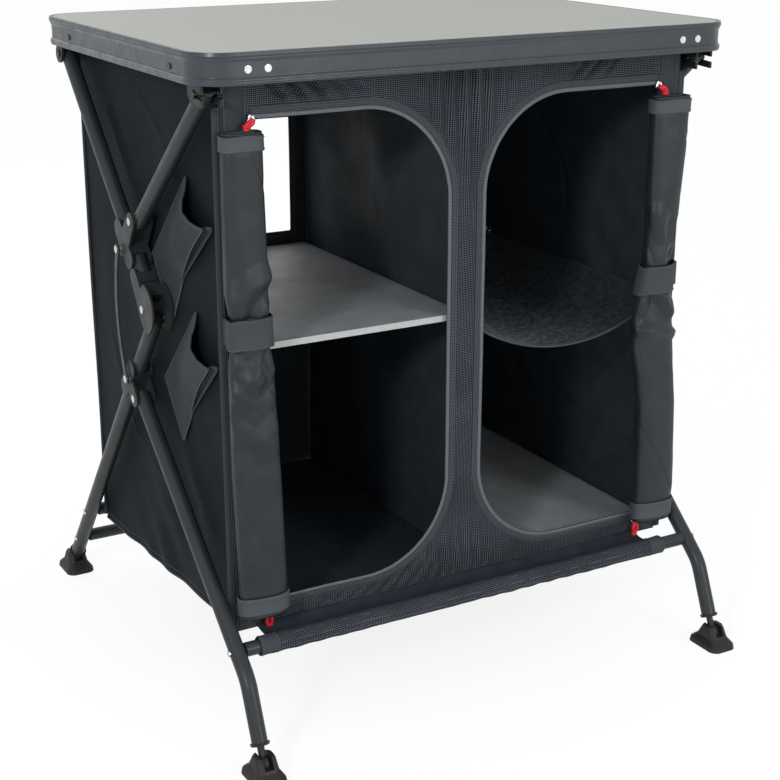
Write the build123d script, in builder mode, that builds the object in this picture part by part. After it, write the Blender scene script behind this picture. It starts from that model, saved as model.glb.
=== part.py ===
from build123d import *
import math
import os

os.makedirs("parts", exist_ok=True)

# Frame of the part: X along the front, Y to the back, Z up, millimetres.
# The origin is on the floor, midway between the four feet.

# Table top
TABLE_W = 744
TABLE_D = 536
TABLE_R = 45
TABLE_Y = -10.5
TABLE_Z = 850
RIM_H = 36
PANEL_T = 12
PANEL_GAP = 0.2
RIM_FACE = 3.0
RIVET_DROP = 19
RIVET_END = 60
RIVET_PITCH = 24
SCREW_DROP = 21
SCREW_YS = (-180, 162)

# Frame tubes
TUBE_R = 10
WALL = 1.5
UPPER_X = TABLE_W / 2 - 27
LOWER_X = UPPER_X + 2
PIN_R = 3.0
RIVET_R = 2.5
RUN = 0.05
SEAT = 0.2

# Pivots of the folding frame, as (Y, Z) on both sides
TABLE_BACK = TABLE_Y + TABLE_D / 2
TABLE_FRONT = TABLE_Y - TABLE_D / 2
REAR_TOP = (TABLE_BACK - 29, TABLE_Z - 49.8)
FRONT_TOP = (TABLE_FRONT + 47.5, TABLE_Z - 48)
HUB_PIVOT = (-9, 617)
STAY_TOP = (27, 575)
STAY_BOW = (40.5, 497)
STAY_FOOT = (19.5, 403)
KNEE = (-42.5, 511.5)
LEG_PIVOT = (6, 379)
BALL_Y = 342.5
BALL_Z = 18

# Ends of the tubes, as (Y, Z)
REAR_ARM_END = (-25.6, 537.3)
FRONT_ARM_END = (-8.7, 614.8)
REAR_LEG_TOP = (-52.5, 497.5)
REAR_LEG_END = (327.6, 35.0)
FRONT_LEG_TOP = (8.5, 381.2)
FRONT_LEG_BEND = (-303, 111)
FRONT_LEG_END = (-332.4, 41.5)
UPPER_RAIL = (249.6, 129.8)
LOWER_RAIL = (300, 68.5)
FRONT_RAIL = (-274, 136.2)

# Cabinet cloth
GAP = 0.3
CLOTH_X = UPPER_X - 19
CLOTH_T = 1.6
FRONT_Y = TABLE_FRONT + 52.5
BACK_Y = TABLE_BACK - 17.5
CLOTH_TOP = TABLE_Z - PANEL_T - GAP
CLOTH_LOW = 136
BACK_LOW = 141
DIVIDER_X = 10
BOARD_Z = 493
BASE_Z = 146
FLOOR_T = 4
FOLD_AMP = 3.0
SIDE_AMP = 1.6


def side(x):
    """Plane across X, so that sketch points are (Y, Z)."""
    return Plane(origin=(x, 0, 0), x_dir=(0, 1, 0), z_dir=(1, 0, 0))


def along(x, p, q):
    """Plane at p, facing q, both as (Y, Z) at one X."""
    return Plane(origin=(x, p[0], p[1]), x_dir=(1, 0, 0), z_dir=(0, q[0] - p[0], q[1] - p[1]))


def step(p, q, d):
    """The point d further along from p towards q."""
    n = math.dist(p, q)
    return (p[0] + (q[0] - p[0]) * d / n, p[1] + (q[1] - p[1]) * d / n)


def foot_on(p, q, r):
    """The point on the line from p to q that is nearest to r."""
    n = math.dist(p, q)
    u = ((q[0] - p[0]) / n, (q[1] - p[1]) / n)
    return step(p, q, (r[0] - p[0]) * u[0] + (r[1] - p[1]) * u[1])


def save(part, name):
    part.label = name
    export_step(part, f"parts/{name}.step")


# Table panel: a laminate board with a soft edge
with BuildPart() as table_panel:
    with BuildSketch(Plane(origin=(0, TABLE_Y, TABLE_Z - PANEL_T))):
        RectangleRounded(TABLE_W - 10 - 2 * PANEL_GAP, TABLE_D - 10 - 2 * PANEL_GAP, TABLE_R - 5)
    extrude(amount=PANEL_T)
    chamfer(table_panel.faces().sort_by(Axis.Z)[-1].edges(), 0.8)
table_panel.part.label = "table_panel"
export_step(table_panel.part, "parts/table_panel.step")

# Table rim: an extruded frame with a lip on top, a cove and a bulge below
RIVET_Z = TABLE_Z - RIVET_DROP
SCREW_Z = TABLE_Z - SCREW_DROP
RIVET_XS = [sign * (TABLE_W / 2 - RIVET_END - k * RIVET_PITCH) for sign in (-1, 1) for k in (0, 1)]
RIM_STEPS = ((0, 1.6), (3, 0.6), (6, 1.0), (9, RIM_FACE), (25, RIM_FACE), (29, 1.2), (32, 0), (36, 1.0))
with BuildPart() as table_rim:
    for height, inset in RIM_STEPS:
        with BuildSketch(Plane(origin=(0, TABLE_Y, TABLE_Z - RIM_H + height))):
            RectangleRounded(TABLE_W - 2 * inset, TABLE_D - 2 * inset, TABLE_R - inset)
    loft(ruled=True)
    for low, high, inset in ((0, 22, 7), (22, 24, 13), (24, 36, 5)):
        with BuildSketch(Plane(origin=(0, TABLE_Y, TABLE_Z - RIM_H + low))):
            RectangleRounded(TABLE_W - 2 * inset, TABLE_D - 2 * inset, TABLE_R - inset)
        extrude(amount=high - low, mode=Mode.SUBTRACT)
    for x in RIVET_XS:
        with BuildSketch(Plane(origin=(x, TABLE_FRONT, RIVET_Z), z_dir=(0, 1, 0))):
            Circle(2.2)
        extrude(amount=12, mode=Mode.SUBTRACT)
    for y in SCREW_YS:
        for x in (-TABLE_W / 2, TABLE_W / 2 - 12):
            with BuildSketch(Plane(origin=(x, TABLE_Y + y, SCREW_Z), z_dir=(1, 0, 0))):
                Circle(2.0)
            extrude(amount=12, mode=Mode.SUBTRACT)
table_rim.part.label = "table_rim"
export_step(table_rim.part, "parts/table_rim.step")

# Rivets with domed heads through the front of the rim
RIM_FRONT = TABLE_FRONT + RIM_FACE
with BuildPart() as rim_rivets:
    for x in RIVET_XS:
        for radius, start, end in ((4.4, 0.05, 1.0), (3.4, 0.9, 1.8), (2.1, -4.0, 0.5)):
            with BuildSketch(Plane(origin=(x, RIM_FRONT - start, RIVET_Z), z_dir=(0, -1, 0))):
                Circle(radius)
            extrude(amount=end - start)
rim_rivets.part.label = "rim_rivets"
export_step(rim_rivets.part, "parts/rim_rivets.step")

# Oval screw covers on the ends of the rim
RIM_SIDE = TABLE_W / 2 - RIM_FACE
with BuildPart() as rim_screws:
    for sign in (-1, 1):
        for y in SCREW_YS:
            for x, facing, length in ((RIM_SIDE + 0.05, sign, 1.4), (RIM_SIDE + 0.5, -sign, 4.5)):
                with BuildSketch(Plane(origin=(sign * x, TABLE_Y + y, SCREW_Z), x_dir=(0, 1, 0), z_dir=(facing, 0, 0))):
                    if facing == sign:
                        SlotOverall(12, 7)
                    else:
                        Circle(1.9)
                extrude(amount=length)
rim_screws.part.label = "rim_screws"
export_step(rim_screws.part, "parts/rim_screws.step")

# Brackets under the panel: two ears on a plate, one pair per tube
EAR_T = 3
EAR_IN = UPPER_X - TUBE_R - 0.3
EAR_OUT = UPPER_X + TUBE_R + 0.3
PLATE_Z = TABLE_Z - PANEL_T - 2 - SEAT
ry, rz = REAR_TOP
with BuildPart() as rear_hinge_brackets:
    for sign in (-1, 1):
        for x in (sign * EAR_OUT, sign * EAR_IN - sign * EAR_T):
            with BuildSketch(side(x)):
                with BuildLine():
                    Polyline((ry - 22.5, PLATE_Z), (ry + 3.5, PLATE_Z), (ry + 3.5, rz + 11.8), (ry, rz - 5.2),
                             (ry - 12.5, rz - 3.2), close=True)
                make_face()
                with Locations(REAR_TOP):
                    Circle(12)
                    Circle(PIN_R + RUN, mode=Mode.SUBTRACT)
            extrude(amount=sign * EAR_T)
        with BuildSketch(Plane.XY.offset(PLATE_Z - EAR_T)):
            with Locations((sign * UPPER_X, ry - 9.5)):
                Rectangle(EAR_OUT - EAR_IN + 2 * EAR_T, 26)
        extrude(amount=EAR_T)
rear_hinge_brackets.part.label = "rear_hinge_brackets"
export_step(rear_hinge_brackets.part, "parts/rear_hinge_brackets.step")

# Front brackets: the slot lets the pin run forward as the frame folds
fy, fz = FRONT_TOP
with BuildPart() as front_arm_brackets:
    for sign in (-1, 1):
        for x in (sign * EAR_OUT, sign * EAR_IN - sign * EAR_T):
            with BuildSketch(side(x)):
                with BuildLine():
                    Polyline((fy - 21, PLATE_Z), (fy + 17, PLATE_Z), (fy + 17, fz - 2), (fy + 9, fz - 11),
                             (fy - 21, fz - 13), close=True)
                make_face()
                with BuildLine():
                    Polyline((fy, fz + 3.3), (fy, fz - 3.3), (fy - 27, fz - 5.5), (fy - 27, fz + 1.2), close=True)
                make_face(mode=Mode.SUBTRACT)
                with Locations(FRONT_TOP):
                    Circle(PIN_R + 0.3, mode=Mode.SUBTRACT)
            extrude(amount=sign * EAR_T)
        with BuildSketch(Plane.XY.offset(PLATE_Z - EAR_T)):
            with Locations((sign * UPPER_X, fy - 2)):
                Rectangle(EAR_OUT - EAR_IN + 2 * EAR_T, 38)
        extrude(amount=EAR_T)
front_arm_brackets.part.label = "front_arm_brackets"
export_step(front_arm_brackets.part, "parts/front_arm_brackets.step")


def pins(point, radius, x_in, x_out, head_r, head_t):
    """Headed pins on both sides, from |X| x_in to x_out, with a head outside each end."""
    for sign in (-1, 1):
        for r, a, b in ((radius, x_in, x_out), (head_r, x_out, x_out + head_t), (head_r, x_in - head_t, x_in)):
            with BuildSketch(side(sign * a)) as disc:
                with Locations(point):
                    Circle(r)
            extrude(disc.sketch, amount=sign * (b - a))


EAR_FACES = (EAR_IN - EAR_T - 0.1, EAR_OUT + EAR_T + 0.1)
with BuildPart() as rear_hinge_pins:
    pins(REAR_TOP, PIN_R, *EAR_FACES, 5, 1.4)
save(rear_hinge_pins.part, "rear_hinge_pins")

with BuildPart() as front_arm_pins:
    pins(FRONT_TOP, PIN_R, *EAR_FACES, 5, 1.4)
save(front_arm_pins.part, "front_arm_pins")


def drill(x, point, radius):
    """A hole right through a tube, along X."""
    with BuildSketch(side(x - 15)) as hole:
        with Locations(point):
            Circle(radius)
    extrude(hole.sketch, amount=30, mode=Mode.SUBTRACT)


# Rear arms: from under the back of the table down to the knee
REAR_ARM_TOP = step(REAR_TOP, REAR_ARM_END, -4.5)
FRONT_ARM_TOP = step(FRONT_TOP, FRONT_ARM_END, -6)
STAY_X = LOWER_X + TUBE_R + 5.1
for sign, name in ((-1, "left"), (1, "right")):
    x = sign * UPPER_X
    with BuildPart() as rear_arm:
        with BuildSketch(along(x, REAR_ARM_TOP, REAR_ARM_END)):
            Circle(TUBE_R)
            Circle(TUBE_R - WALL, mode=Mode.SUBTRACT)
        extrude(amount=math.dist(REAR_ARM_TOP, REAR_ARM_END))
        drill(x, REAR_TOP, PIN_R + RUN)
    save(rear_arm.part, f"{name}_rear_arm")

    with BuildPart() as front_arm:
        with BuildSketch(along(x, FRONT_ARM_TOP, FRONT_ARM_END)):
            Circle(TUBE_R)
            Circle(TUBE_R - WALL, mode=Mode.SUBTRACT)
        extrude(amount=math.dist(FRONT_ARM_TOP, FRONT_ARM_END))
        drill(x, FRONT_TOP, PIN_R + 0.02)
        drill(x, HUB_PIVOT, RIVET_R + RUN)
    save(front_arm.part, f"{name}_front_arm")


def cap(x, end, inner, pivots):
    """A plastic cap in the end of a tube, with holes for the pins near it."""
    for start, radius, length, slant in ((0, TUBE_R - 0.1, 2, 0), (-2, TUBE_R - 0.1, 2.2, 50),
                                         (16, TUBE_R - WALL - 0.1, 16.1, 0)):
        with BuildSketch(along(x, step(end, inner, start), step(end, inner, start - 5))) as disc:
            Circle(radius)
        extrude(disc.sketch, amount=length, taper=slant)
    for point, radius in pivots:
        drill(x, point, radius)


with BuildPart() as rear_arm_caps:
    for sign in (-1, 1):
        cap(sign * UPPER_X, REAR_ARM_TOP, REAR_ARM_END, ((REAR_TOP, PIN_R + RUN),))
save(rear_arm_caps.part, "rear_arm_caps")

with BuildPart() as front_arm_caps:
    for sign in (-1, 1):
        cap(sign * UPPER_X, FRONT_ARM_TOP, FRONT_ARM_END, ((FRONT_TOP, PIN_R + 0.02),))
        cap(sign * UPPER_X, FRONT_ARM_END, FRONT_ARM_TOP, ((HUB_PIVOT, RIVET_R + RUN),))
save(front_arm_caps.part, "front_arm_caps")

# Upper hubs: star-shaped castings on the rear arms that hold the front arms and stays
HUB_CENTRE = foot_on(REAR_TOP, REAR_ARM_END, (8, 592))
HUB_UP = step(HUB_CENTRE, REAR_TOP, 24)
HUB_DOWN = step(HUB_CENTRE, REAR_TOP, -22)


def lobe(p, rp, q, rq):
    """A tapered arm between two circles."""
    n = math.dist(p, q)
    nx, ny = -(q[1] - p[1]) / n, (q[0] - p[0]) / n
    with BuildLine() as outline:
        Polyline((p[0] + nx * rp, p[1] + ny * rp), (q[0] + nx * rq, q[1] + ny * rq),
                 (q[0] - nx * rq, q[1] - ny * rq), (p[0] - nx * rp, p[1] - ny * rp), close=True)
    make_face(outline.edges())
    with Locations(p):
        Circle(rp)
    with Locations(q):
        Circle(rq)


with BuildPart() as upper_hubs:
    for sign in (-1, 1):
        for x in (sign * EAR_OUT, sign * EAR_IN - sign * EAR_T):
            with BuildSketch(side(x)):
                lobe(HUB_CENTRE, 15, HUB_PIVOT, 11.5)
                lobe(HUB_CENTRE, 15, STAY_TOP, 10)
                lobe(HUB_UP, 13, HUB_DOWN, 13)
                for point in (HUB_PIVOT, STAY_TOP):
                    with Locations(point):
                        Circle(RIVET_R + 0.02, mode=Mode.SUBTRACT)
            extrude(amount=sign * EAR_T)
        with BuildSketch(Plane(origin=(sign * UPPER_X, *HUB_DOWN), x_dir=(1, 0, 0),
                               z_dir=(0, HUB_UP[0] - HUB_DOWN[0], HUB_UP[1] - HUB_DOWN[1]))):
            Rectangle(2 * TUBE_R + 0.8, 26)
        extrude(amount=math.dist(HUB_UP, HUB_DOWN))
        with BuildSketch(along(sign * UPPER_X, step(HUB_DOWN, HUB_UP, -30), HUB_UP)):
            Circle(TUBE_R + RUN)
        extrude(amount=110, mode=Mode.SUBTRACT)
save(upper_hubs.part, "upper_hubs")

with BuildPart() as upper_hub_rivets:
    for sign in (-1, 1):
        outer = EAR_OUT + EAR_T + 0.05
        inner = EAR_IN - EAR_T - 0.05
        for point, r, a, b in ((HUB_PIVOT, RIVET_R, inner, outer), (HUB_PIVOT, 5, outer, outer + 1.6),
                               (HUB_PIVOT, 5, inner - 1.4, inner), (STAY_TOP, RIVET_R, EAR_OUT + 0.2, STAY_X + 2.2),
                               (STAY_TOP, 4.5, outer, STAY_X - 0.1), (STAY_TOP, 5, STAY_X + 2.15, STAY_X + 3.7)):
            with BuildSketch(side(sign * a)):
                with Locations(point):
                    Circle(r)
            extrude(amount=sign * (b - a))
save(upper_hub_rivets.part, "upper_hub_rivets")

# Knees: lens-shaped cheeks and a clevis block on the lower end of each rear arm
CHEEK_T = 2.5
CHEEK_IN = LOWER_X - TUBE_R - 0.3
CHEEK_OUT = LOWER_X + TUBE_R + 0.3
KNEE_UP = foot_on(REAR_TOP, REAR_ARM_END, KNEE)
BLOCK_START = step(KNEE_UP, REAR_TOP, 10)
BLOCK_TUBE = step(KNEE_UP, REAR_TOP, 29.8)
BLOCK_END = step(KNEE_UP, REAR_TOP, 44)
KNEE_TIPS = ((-48.5, 545), (-57, 482))
KNEE_IN = UPPER_X - TUBE_R - 0.3
with BuildPart() as knee_clevises:
    for sign in (-1, 1):
        for x in (sign * CHEEK_OUT, sign * (KNEE_IN - CHEEK_T)):
            with BuildSketch(side(x)):
                with BuildLine():
                    ThreePointArc(KNEE_TIPS[0], (-77, 516), KNEE_TIPS[1])
                    ThreePointArc(KNEE_TIPS[1], (-29, 512), KNEE_TIPS[0])
                make_face()
                lobe(KNEE, 13, BLOCK_END, 11)
                with Locations(KNEE):
                    Circle(RIVET_R + 0.02, mode=Mode.SUBTRACT)
            extrude(amount=sign * CHEEK_T)
        for a, b, low, high in ((BLOCK_START, BLOCK_TUBE, 10, 10), (BLOCK_TUBE, BLOCK_END, 12, 12)):
            with BuildSketch(along(sign * (KNEE_IN + CHEEK_OUT) / 2, a, b)):
                Rectangle(CHEEK_OUT - KNEE_IN + 0.2, low + high)
            extrude(amount=math.dist(a, b))
        with BuildSketch(along(sign * UPPER_X, BLOCK_TUBE, BLOCK_END)):
            Circle(TUBE_R + RUN)
        extrude(amount=40, mode=Mode.SUBTRACT)
save(knee_clevises.part, "knee_clevises")

# Rear legs: one straight tube from the knee to the back foot
KNEE_FOOT = foot_on(REAR_LEG_TOP, REAR_LEG_END, KNEE)
TONGUE_IN = LOWER_X - TUBE_R
for sign, name in ((-1, "left"), (1, "right")):
    x = sign * LOWER_X
    with BuildPart() as rear_leg:
        with BuildSketch(along(x, REAR_LEG_TOP, REAR_LEG_END)):
            Circle(TUBE_R)
            Circle(TUBE_R - WALL, mode=Mode.SUBTRACT)
        extrude(amount=math.dist(REAR_LEG_TOP, REAR_LEG_END))
        for point in (UPPER_RAIL, LOWER_RAIL):
            drill(x, point, 2.1)
    save(rear_leg.part, f"{name}_rear_leg")

with BuildPart() as rear_leg_caps:
    for sign in (-1, 1):
        cap(sign * LOWER_X, REAR_LEG_TOP, REAR_LEG_END, ())
save(rear_leg_caps.part, "rear_leg_caps")

# Knee saddles: welded on the rear legs, between the cheeks
with BuildPart() as knee_saddles:
    for sign in (-1, 1):
        with BuildSketch(side(sign * TONGUE_IN)):
            lobe(KNEE, 9, KNEE_FOOT, 8)
            with Locations(KNEE):
                Circle(RIVET_R + RUN, mode=Mode.SUBTRACT)
        extrude(amount=sign * 2 * TUBE_R)
        with BuildSketch(along(sign * LOWER_X, step(REAR_LEG_TOP, REAR_LEG_END, -20), REAR_LEG_END)):
            Circle(TUBE_R + RUN)
        extrude(amount=60, mode=Mode.SUBTRACT)
save(knee_saddles.part, "knee_saddles")

# Lower hubs: castings on the rear legs that hold the front legs
LOWER_CENTRE = foot_on(REAR_LEG_TOP, REAR_LEG_END, (24, 400))
LOWER_UP = step(LOWER_CENTRE, REAR_LEG_TOP, 20)
LOWER_DOWN = step(LOWER_CENTRE, REAR_LEG_TOP, -20)
with BuildPart() as lower_hubs:
    for sign in (-1, 1):
        for x in (sign * CHEEK_OUT, sign * (CHEEK_IN - CHEEK_T)):
            with BuildSketch(side(x)):
                lobe(LOWER_CENTRE, 14, LEG_PIVOT, 11)
                lobe(LOWER_UP, 12, LOWER_DOWN, 12)
                with Locations(LEG_PIVOT):
                    Circle(RIVET_R + 0.02, mode=Mode.SUBTRACT)
            extrude(amount=sign * CHEEK_T)
        with BuildSketch(along(sign * LOWER_X, LOWER_UP, LOWER_DOWN)):
            Rectangle(2 * TUBE_R + 0.8, 24)
        extrude(amount=math.dist(LOWER_UP, LOWER_DOWN))
        with BuildSketch(along(sign * LOWER_X, step(LOWER_UP, LOWER_DOWN, -30), LOWER_DOWN)):
            Circle(TUBE_R + RUN)
        extrude(amount=110, mode=Mode.SUBTRACT)
save(lower_hubs.part, "lower_hubs")

# Rivets of the knees and of the lower hubs
with BuildPart() as leg_rivets:
    pins(KNEE, RIVET_R, KNEE_IN - CHEEK_T - 0.05, CHEEK_OUT + CHEEK_T + 0.05, 5, 1.4)
    pins(LEG_PIVOT, RIVET_R, CHEEK_IN - CHEEK_T - 0.05, CHEEK_OUT + CHEEK_T + 0.05, 5, 1.4)
save(leg_rivets.part, "leg_rivets")

# Stays: thin curved bars outside the tubes, from the upper hub to the lower hub
STAY_T = 2.0
STAY_FACE = CHEEK_OUT + CHEEK_T + SEAT
for sign, name in ((-1, "left"), (1, "right")):
    with BuildPart() as stay:
        with BuildSketch(side(sign * STAY_X)):
            with BuildLine() as bow:
                ThreePointArc(STAY_TOP, STAY_BOW, STAY_FOOT)
            trace(line_width=9)
            for point in (STAY_TOP, STAY_FOOT):
                with Locations(point):
                    Circle(7)
            with Locations(STAY_TOP):
                Circle(RIVET_R + RUN, mode=Mode.SUBTRACT)
            with Locations(STAY_FOOT):
                Circle(RIVET_R + 0.02, mode=Mode.SUBTRACT)
        extrude(amount=sign * STAY_T)
    save(stay.part, f"{name}_stay")

with BuildPart() as stay_rivets:
    for sign in (-1, 1):
        for r, a, b in ((RIVET_R, STAY_FACE, STAY_X + STAY_T + 0.1), (4.5, STAY_FACE, STAY_X - 0.05),
                        (5, STAY_X + STAY_T + 0.05, STAY_X + STAY_T + 1.6)):
            with BuildSketch(side(sign * a)):
                with Locations(STAY_FOOT):
                    Circle(r)
            extrude(amount=sign * (b - a))
save(stay_rivets.part, "stay_rivets")

# Front legs: straight from the lower hub, bent steeper near the floor
for sign, name in ((-1, "left"), (1, "right")):
    x = sign * LOWER_X
    with BuildPart() as front_leg:
        with BuildLine(side(x)) as leg_path:
            FilletPolyline(FRONT_LEG_TOP, FRONT_LEG_BEND, FRONT_LEG_END, radius=60)
        with BuildSketch(along(x, FRONT_LEG_TOP, FRONT_LEG_BEND)):
            Circle(TUBE_R)
            Circle(TUBE_R - WALL, mode=Mode.SUBTRACT)
        sweep(path=leg_path.line)
        drill(x, LEG_PIVOT, RIVET_R + RUN)
        drill(x, FRONT_RAIL, 2.1)
    save(front_leg.part, f"{name}_front_leg")

with BuildPart() as front_leg_caps:
    for sign in (-1, 1):
        cap(sign * LOWER_X, FRONT_LEG_TOP, FRONT_LEG_BEND, ((LEG_PIVOT, RIVET_R + RUN),))
save(front_leg_caps.part, "front_leg_caps")

# Cross rails between the legs, and the screws that hold them
RAIL_R = 9
RAIL_END = LOWER_X - TUBE_R - 0.2
for name, points in (("rear_rails", (UPPER_RAIL, LOWER_RAIL)), ("front_rail", (FRONT_RAIL,))):
    with BuildPart() as rail:
        for point in points:
            with BuildSketch(side(-RAIL_END)):
                with Locations(point):
                    Circle(RAIL_R)
                    Circle(RAIL_R - WALL, mode=Mode.SUBTRACT)
            extrude(amount=2 * RAIL_END)
            for x in (-RAIL_END, RAIL_END - 8):
                with BuildSketch(side(x)):
                    with Locations(point):
                        Circle(RAIL_R - 0.5)
                        Circle(2.05, mode=Mode.SUBTRACT)
                extrude(amount=8)
    save(rail.part, name)

for name, points in (("rear_rail_screws", (UPPER_RAIL, LOWER_RAIL)), ("front_rail_screws", (FRONT_RAIL,))):
    with BuildPart() as screws:
        for sign in (-1, 1):
            for point in points:
                for r, a, b in ((2.0, RAIL_END - 7, LOWER_X + TUBE_R + 0.2),
                                (4.2, LOWER_X + TUBE_R + 0.1, LOWER_X + TUBE_R + 1.8)):
                    with BuildSketch(side(sign * a)):
                        with Locations(point):
                            Circle(r)
                    extrude(amount=sign * (b - a))
    save(screws.part, name)

# Cloth sleeve round the front rail
with BuildPart() as rail_sleeve:
    with BuildSketch(side(-RAIL_END + 18.8)):
        with Locations(FRONT_RAIL):
            Circle(RAIL_R + 2.2)
            Circle(RAIL_R + GAP, mode=Mode.SUBTRACT)
    extrude(amount=2 * RAIL_END - 18.8 - 36.8)
save(rail_sleeve.part, "rail_sleeve")

# Foot plugs: a collar on the tube, a neck and a ball that the pad turns on
BALL_R = 10
for name, end, inner, y in (("rear_foot_plugs", REAR_LEG_END, REAR_LEG_TOP, BALL_Y),
                            ("front_foot_plugs", FRONT_LEG_END, FRONT_LEG_BEND, -BALL_Y)):
    with BuildPart() as plugs:
        for sign in (-1, 1):
            x = sign * LOWER_X
            with BuildSketch(along(x, step(end, inner, 15), end)):
                Circle(TUBE_R - WALL - 0.1)
            extrude(amount=15)
            with BuildSketch(along(x, end, step(end, inner, -5))):
                Circle(12.5)
            extrude(amount=3, taper=20)
            with BuildSketch(along(x, end, (y, BALL_Z))):
                Circle(4.5)
            extrude(amount=math.dist(end, (y, BALL_Z)))
            with BuildSketch(Plane(origin=(x, y, BALL_Z), x_dir=(1, 0, 0), z_dir=(0, -1, 0))) as half_disc:
                with BuildLine():
                    Line((0, -BALL_R), (0, BALL_R))
                    RadiusArc((0, BALL_R), (0, -BALL_R), BALL_R)
                make_face()
            revolve(axis=Axis((x, y, BALL_Z), (0, 0, 1)))
    save(plugs.part, name)

# Foot pads: a skirted sole with two cheeks that hold the ball
for sign, side_name in ((-1, "left"), (1, "right")):
    for y, end_name in ((BALL_Y, "rear"), (-BALL_Y, "front")):
        x = sign * LOWER_X
        with BuildPart() as pad:
            for z, w, d, r in ((0, 42, 60, 12), (6, 40, 57, 11), (14, 29, 38, 8), (27, 26.5, 24, 8), (30, 24, 20, 7)):
                with BuildSketch(Plane(origin=(x, y, z))):
                    RectangleRounded(w, d, r)
            loft(ruled=True)
            with BuildSketch(Plane(origin=(x, y, BALL_Z - 1))):
                Rectangle(12, 80)
            extrude(amount=20, mode=Mode.SUBTRACT)
            with BuildSketch(Plane(origin=(x, y, BALL_Z), x_dir=(1, 0, 0), z_dir=(0, -1, 0))):
                with BuildLine():
                    Line((0, -BALL_R - 0.08), (0, BALL_R + 0.08))
                    RadiusArc((0, BALL_R + 0.08), (0, -BALL_R - 0.08), BALL_R + 0.08)
                make_face()
            revolve(axis=Axis((x, y, BALL_Z), (0, 0, 1)), mode=Mode.SUBTRACT)
        save(pad.part, f"{side_name}_{end_name}_foot_pad")


def wave(a, b, folds, amp, thick, fixed, upright):
    """A cloth wall seen from above: arcs to and fro from a to b, one thickness apart."""
    pitch = (b - a) / folds
    with BuildLine() as outline:
        for shift in (0, thick):
            for i in range(folds):
                bend = amp if i % 2 else -amp
                ends = [(a + i * pitch, fixed + shift), (a + (i + 0.5) * pitch, fixed + shift + bend),
                        (a + (i + 1) * pitch, fixed + shift)]
                if upright:
                    ends = [(q, p) for p, q in ends]
                ThreePointArc(*ends)
        for end in (a, b):
            if upright:
                Line((fixed, end), (fixed + thick, end))
            else:
                Line((end, fixed), (end, fixed + thick))
    make_face(outline.edges())


# Front panel: mesh cloth with two door openings, standing in soft upright folds
OPENINGS = ((-CLOTH_X + 38, DIVIDER_X - 35, 1), (DIVIDER_X + 20, CLOTH_X - 35, -1))
OPEN_LOW = 172
OPEN_HIGH = CLOTH_TOP - 68.7
OPEN_R = 118
ZIP_W = 5
TAPE_W = 8.7

# Window in the back, behind the left cupboard
WINDOW_X, WINDOW_Z = 184 - CLOTH_X, CLOTH_TOP - 233.7
WINDOW_W, WINDOW_H = 256, 172


def door_shape(left, right, curved, grow):
    """A tall opening with its two corners towards the middle well rounded."""
    outer, inner = (left - grow, right + grow) if curved > 0 else (right + grow, left - grow)
    low, high, r = OPEN_LOW - grow, OPEN_HIGH + grow, OPEN_R + grow
    bend = r * (1 - math.sqrt(0.5))
    mid = inner - curved * bend
    start = inner - curved * r
    with BuildLine() as outline:
        Line((outer, low), (start, low))
        ThreePointArc((start, low), (mid, low + bend), (inner, low + r))
        Line((inner, low + r), (inner, high - r))
        ThreePointArc((inner, high - r), (mid, high - bend), (start, high))
        Line((start, high), (outer, high))
        Line((outer, high), (outer, low))
    make_face(outline.edges())


with BuildPart() as front_panel:
    with BuildSketch(Plane.XY.offset(CLOTH_LOW)):
        wave(-CLOTH_X + 1, CLOTH_X - 1, 22, FOLD_AMP, CLOTH_T, FRONT_Y, False)
    extrude(amount=CLOTH_TOP - CLOTH_LOW)
    for left, right, curved in OPENINGS:
        with BuildSketch(Plane(origin=(0, FRONT_Y + 20, 0), x_dir=(1, 0, 0), z_dir=(0, -1, 0))):
            door_shape(left, right, curved, 0)
        extrude(amount=40, mode=Mode.SUBTRACT)
save(front_panel.part, "front_panel")

# Zip round the edge of each door opening, with tape sewn along it
TAPE_Y = FRONT_Y - FOLD_AMP - GAP
ZIP_T = 1.6
for name, inner, outer, thick in (("opening_tapes", ZIP_W + GAP, ZIP_W + GAP + TAPE_W, 1.0),
                                  ("door_zips", 0.5, ZIP_W, ZIP_T)):
    with BuildPart() as trim:
        for left, right, curved in OPENINGS:
            with BuildSketch(Plane(origin=(0, TAPE_Y, 0), x_dir=(1, 0, 0), z_dir=(0, -1, 0))):
                door_shape(left, right, curved, outer)
            extrude(amount=thick)
            with BuildSketch(Plane(origin=(0, TAPE_Y + 1, 0), x_dir=(1, 0, 0), z_dir=(0, -1, 0))):
                door_shape(left, right, curved, inner)
            extrude(amount=thick + 2, mode=Mode.SUBTRACT)
        if name == "opening_tapes":
            with BuildSketch(Plane(origin=(WINDOW_X, BACK_Y - 2.4, WINDOW_Z), x_dir=(1, 0, 0), z_dir=(0, -1, 0))):
                RectangleRounded(WINDOW_W + 20, WINDOW_H + 20, 14)
                RectangleRounded(WINDOW_W + 1, WINDOW_H + 1, 8, mode=Mode.SUBTRACT)
            extrude(amount=1.0)
    save(trim.part, name)

# Side panels: cloth that hangs from the rim in slight folds, cut higher in front
for sign, name in ((-1, "left"), (1, "right")):
    with BuildPart() as wall:
        with BuildSketch(Plane.XY.offset(112)):
            wave(FRONT_Y + 6, BACK_Y - 4, 12, SIDE_AMP, sign * CLOTH_T, sign * CLOTH_X, True)
        extrude(amount=CLOTH_TOP - 112)
        with BuildSketch(side(-400)):
            with BuildLine():
                Polyline((FRONT_Y - 14, 100), (BACK_Y + 10, 100), (BACK_Y + 10, 119), (FRONT_Y - 14, 145), close=True)
            make_face()
        extrude(amount=800, mode=Mode.SUBTRACT)
    save(wall.part, f"{name}_side_panel")

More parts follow.
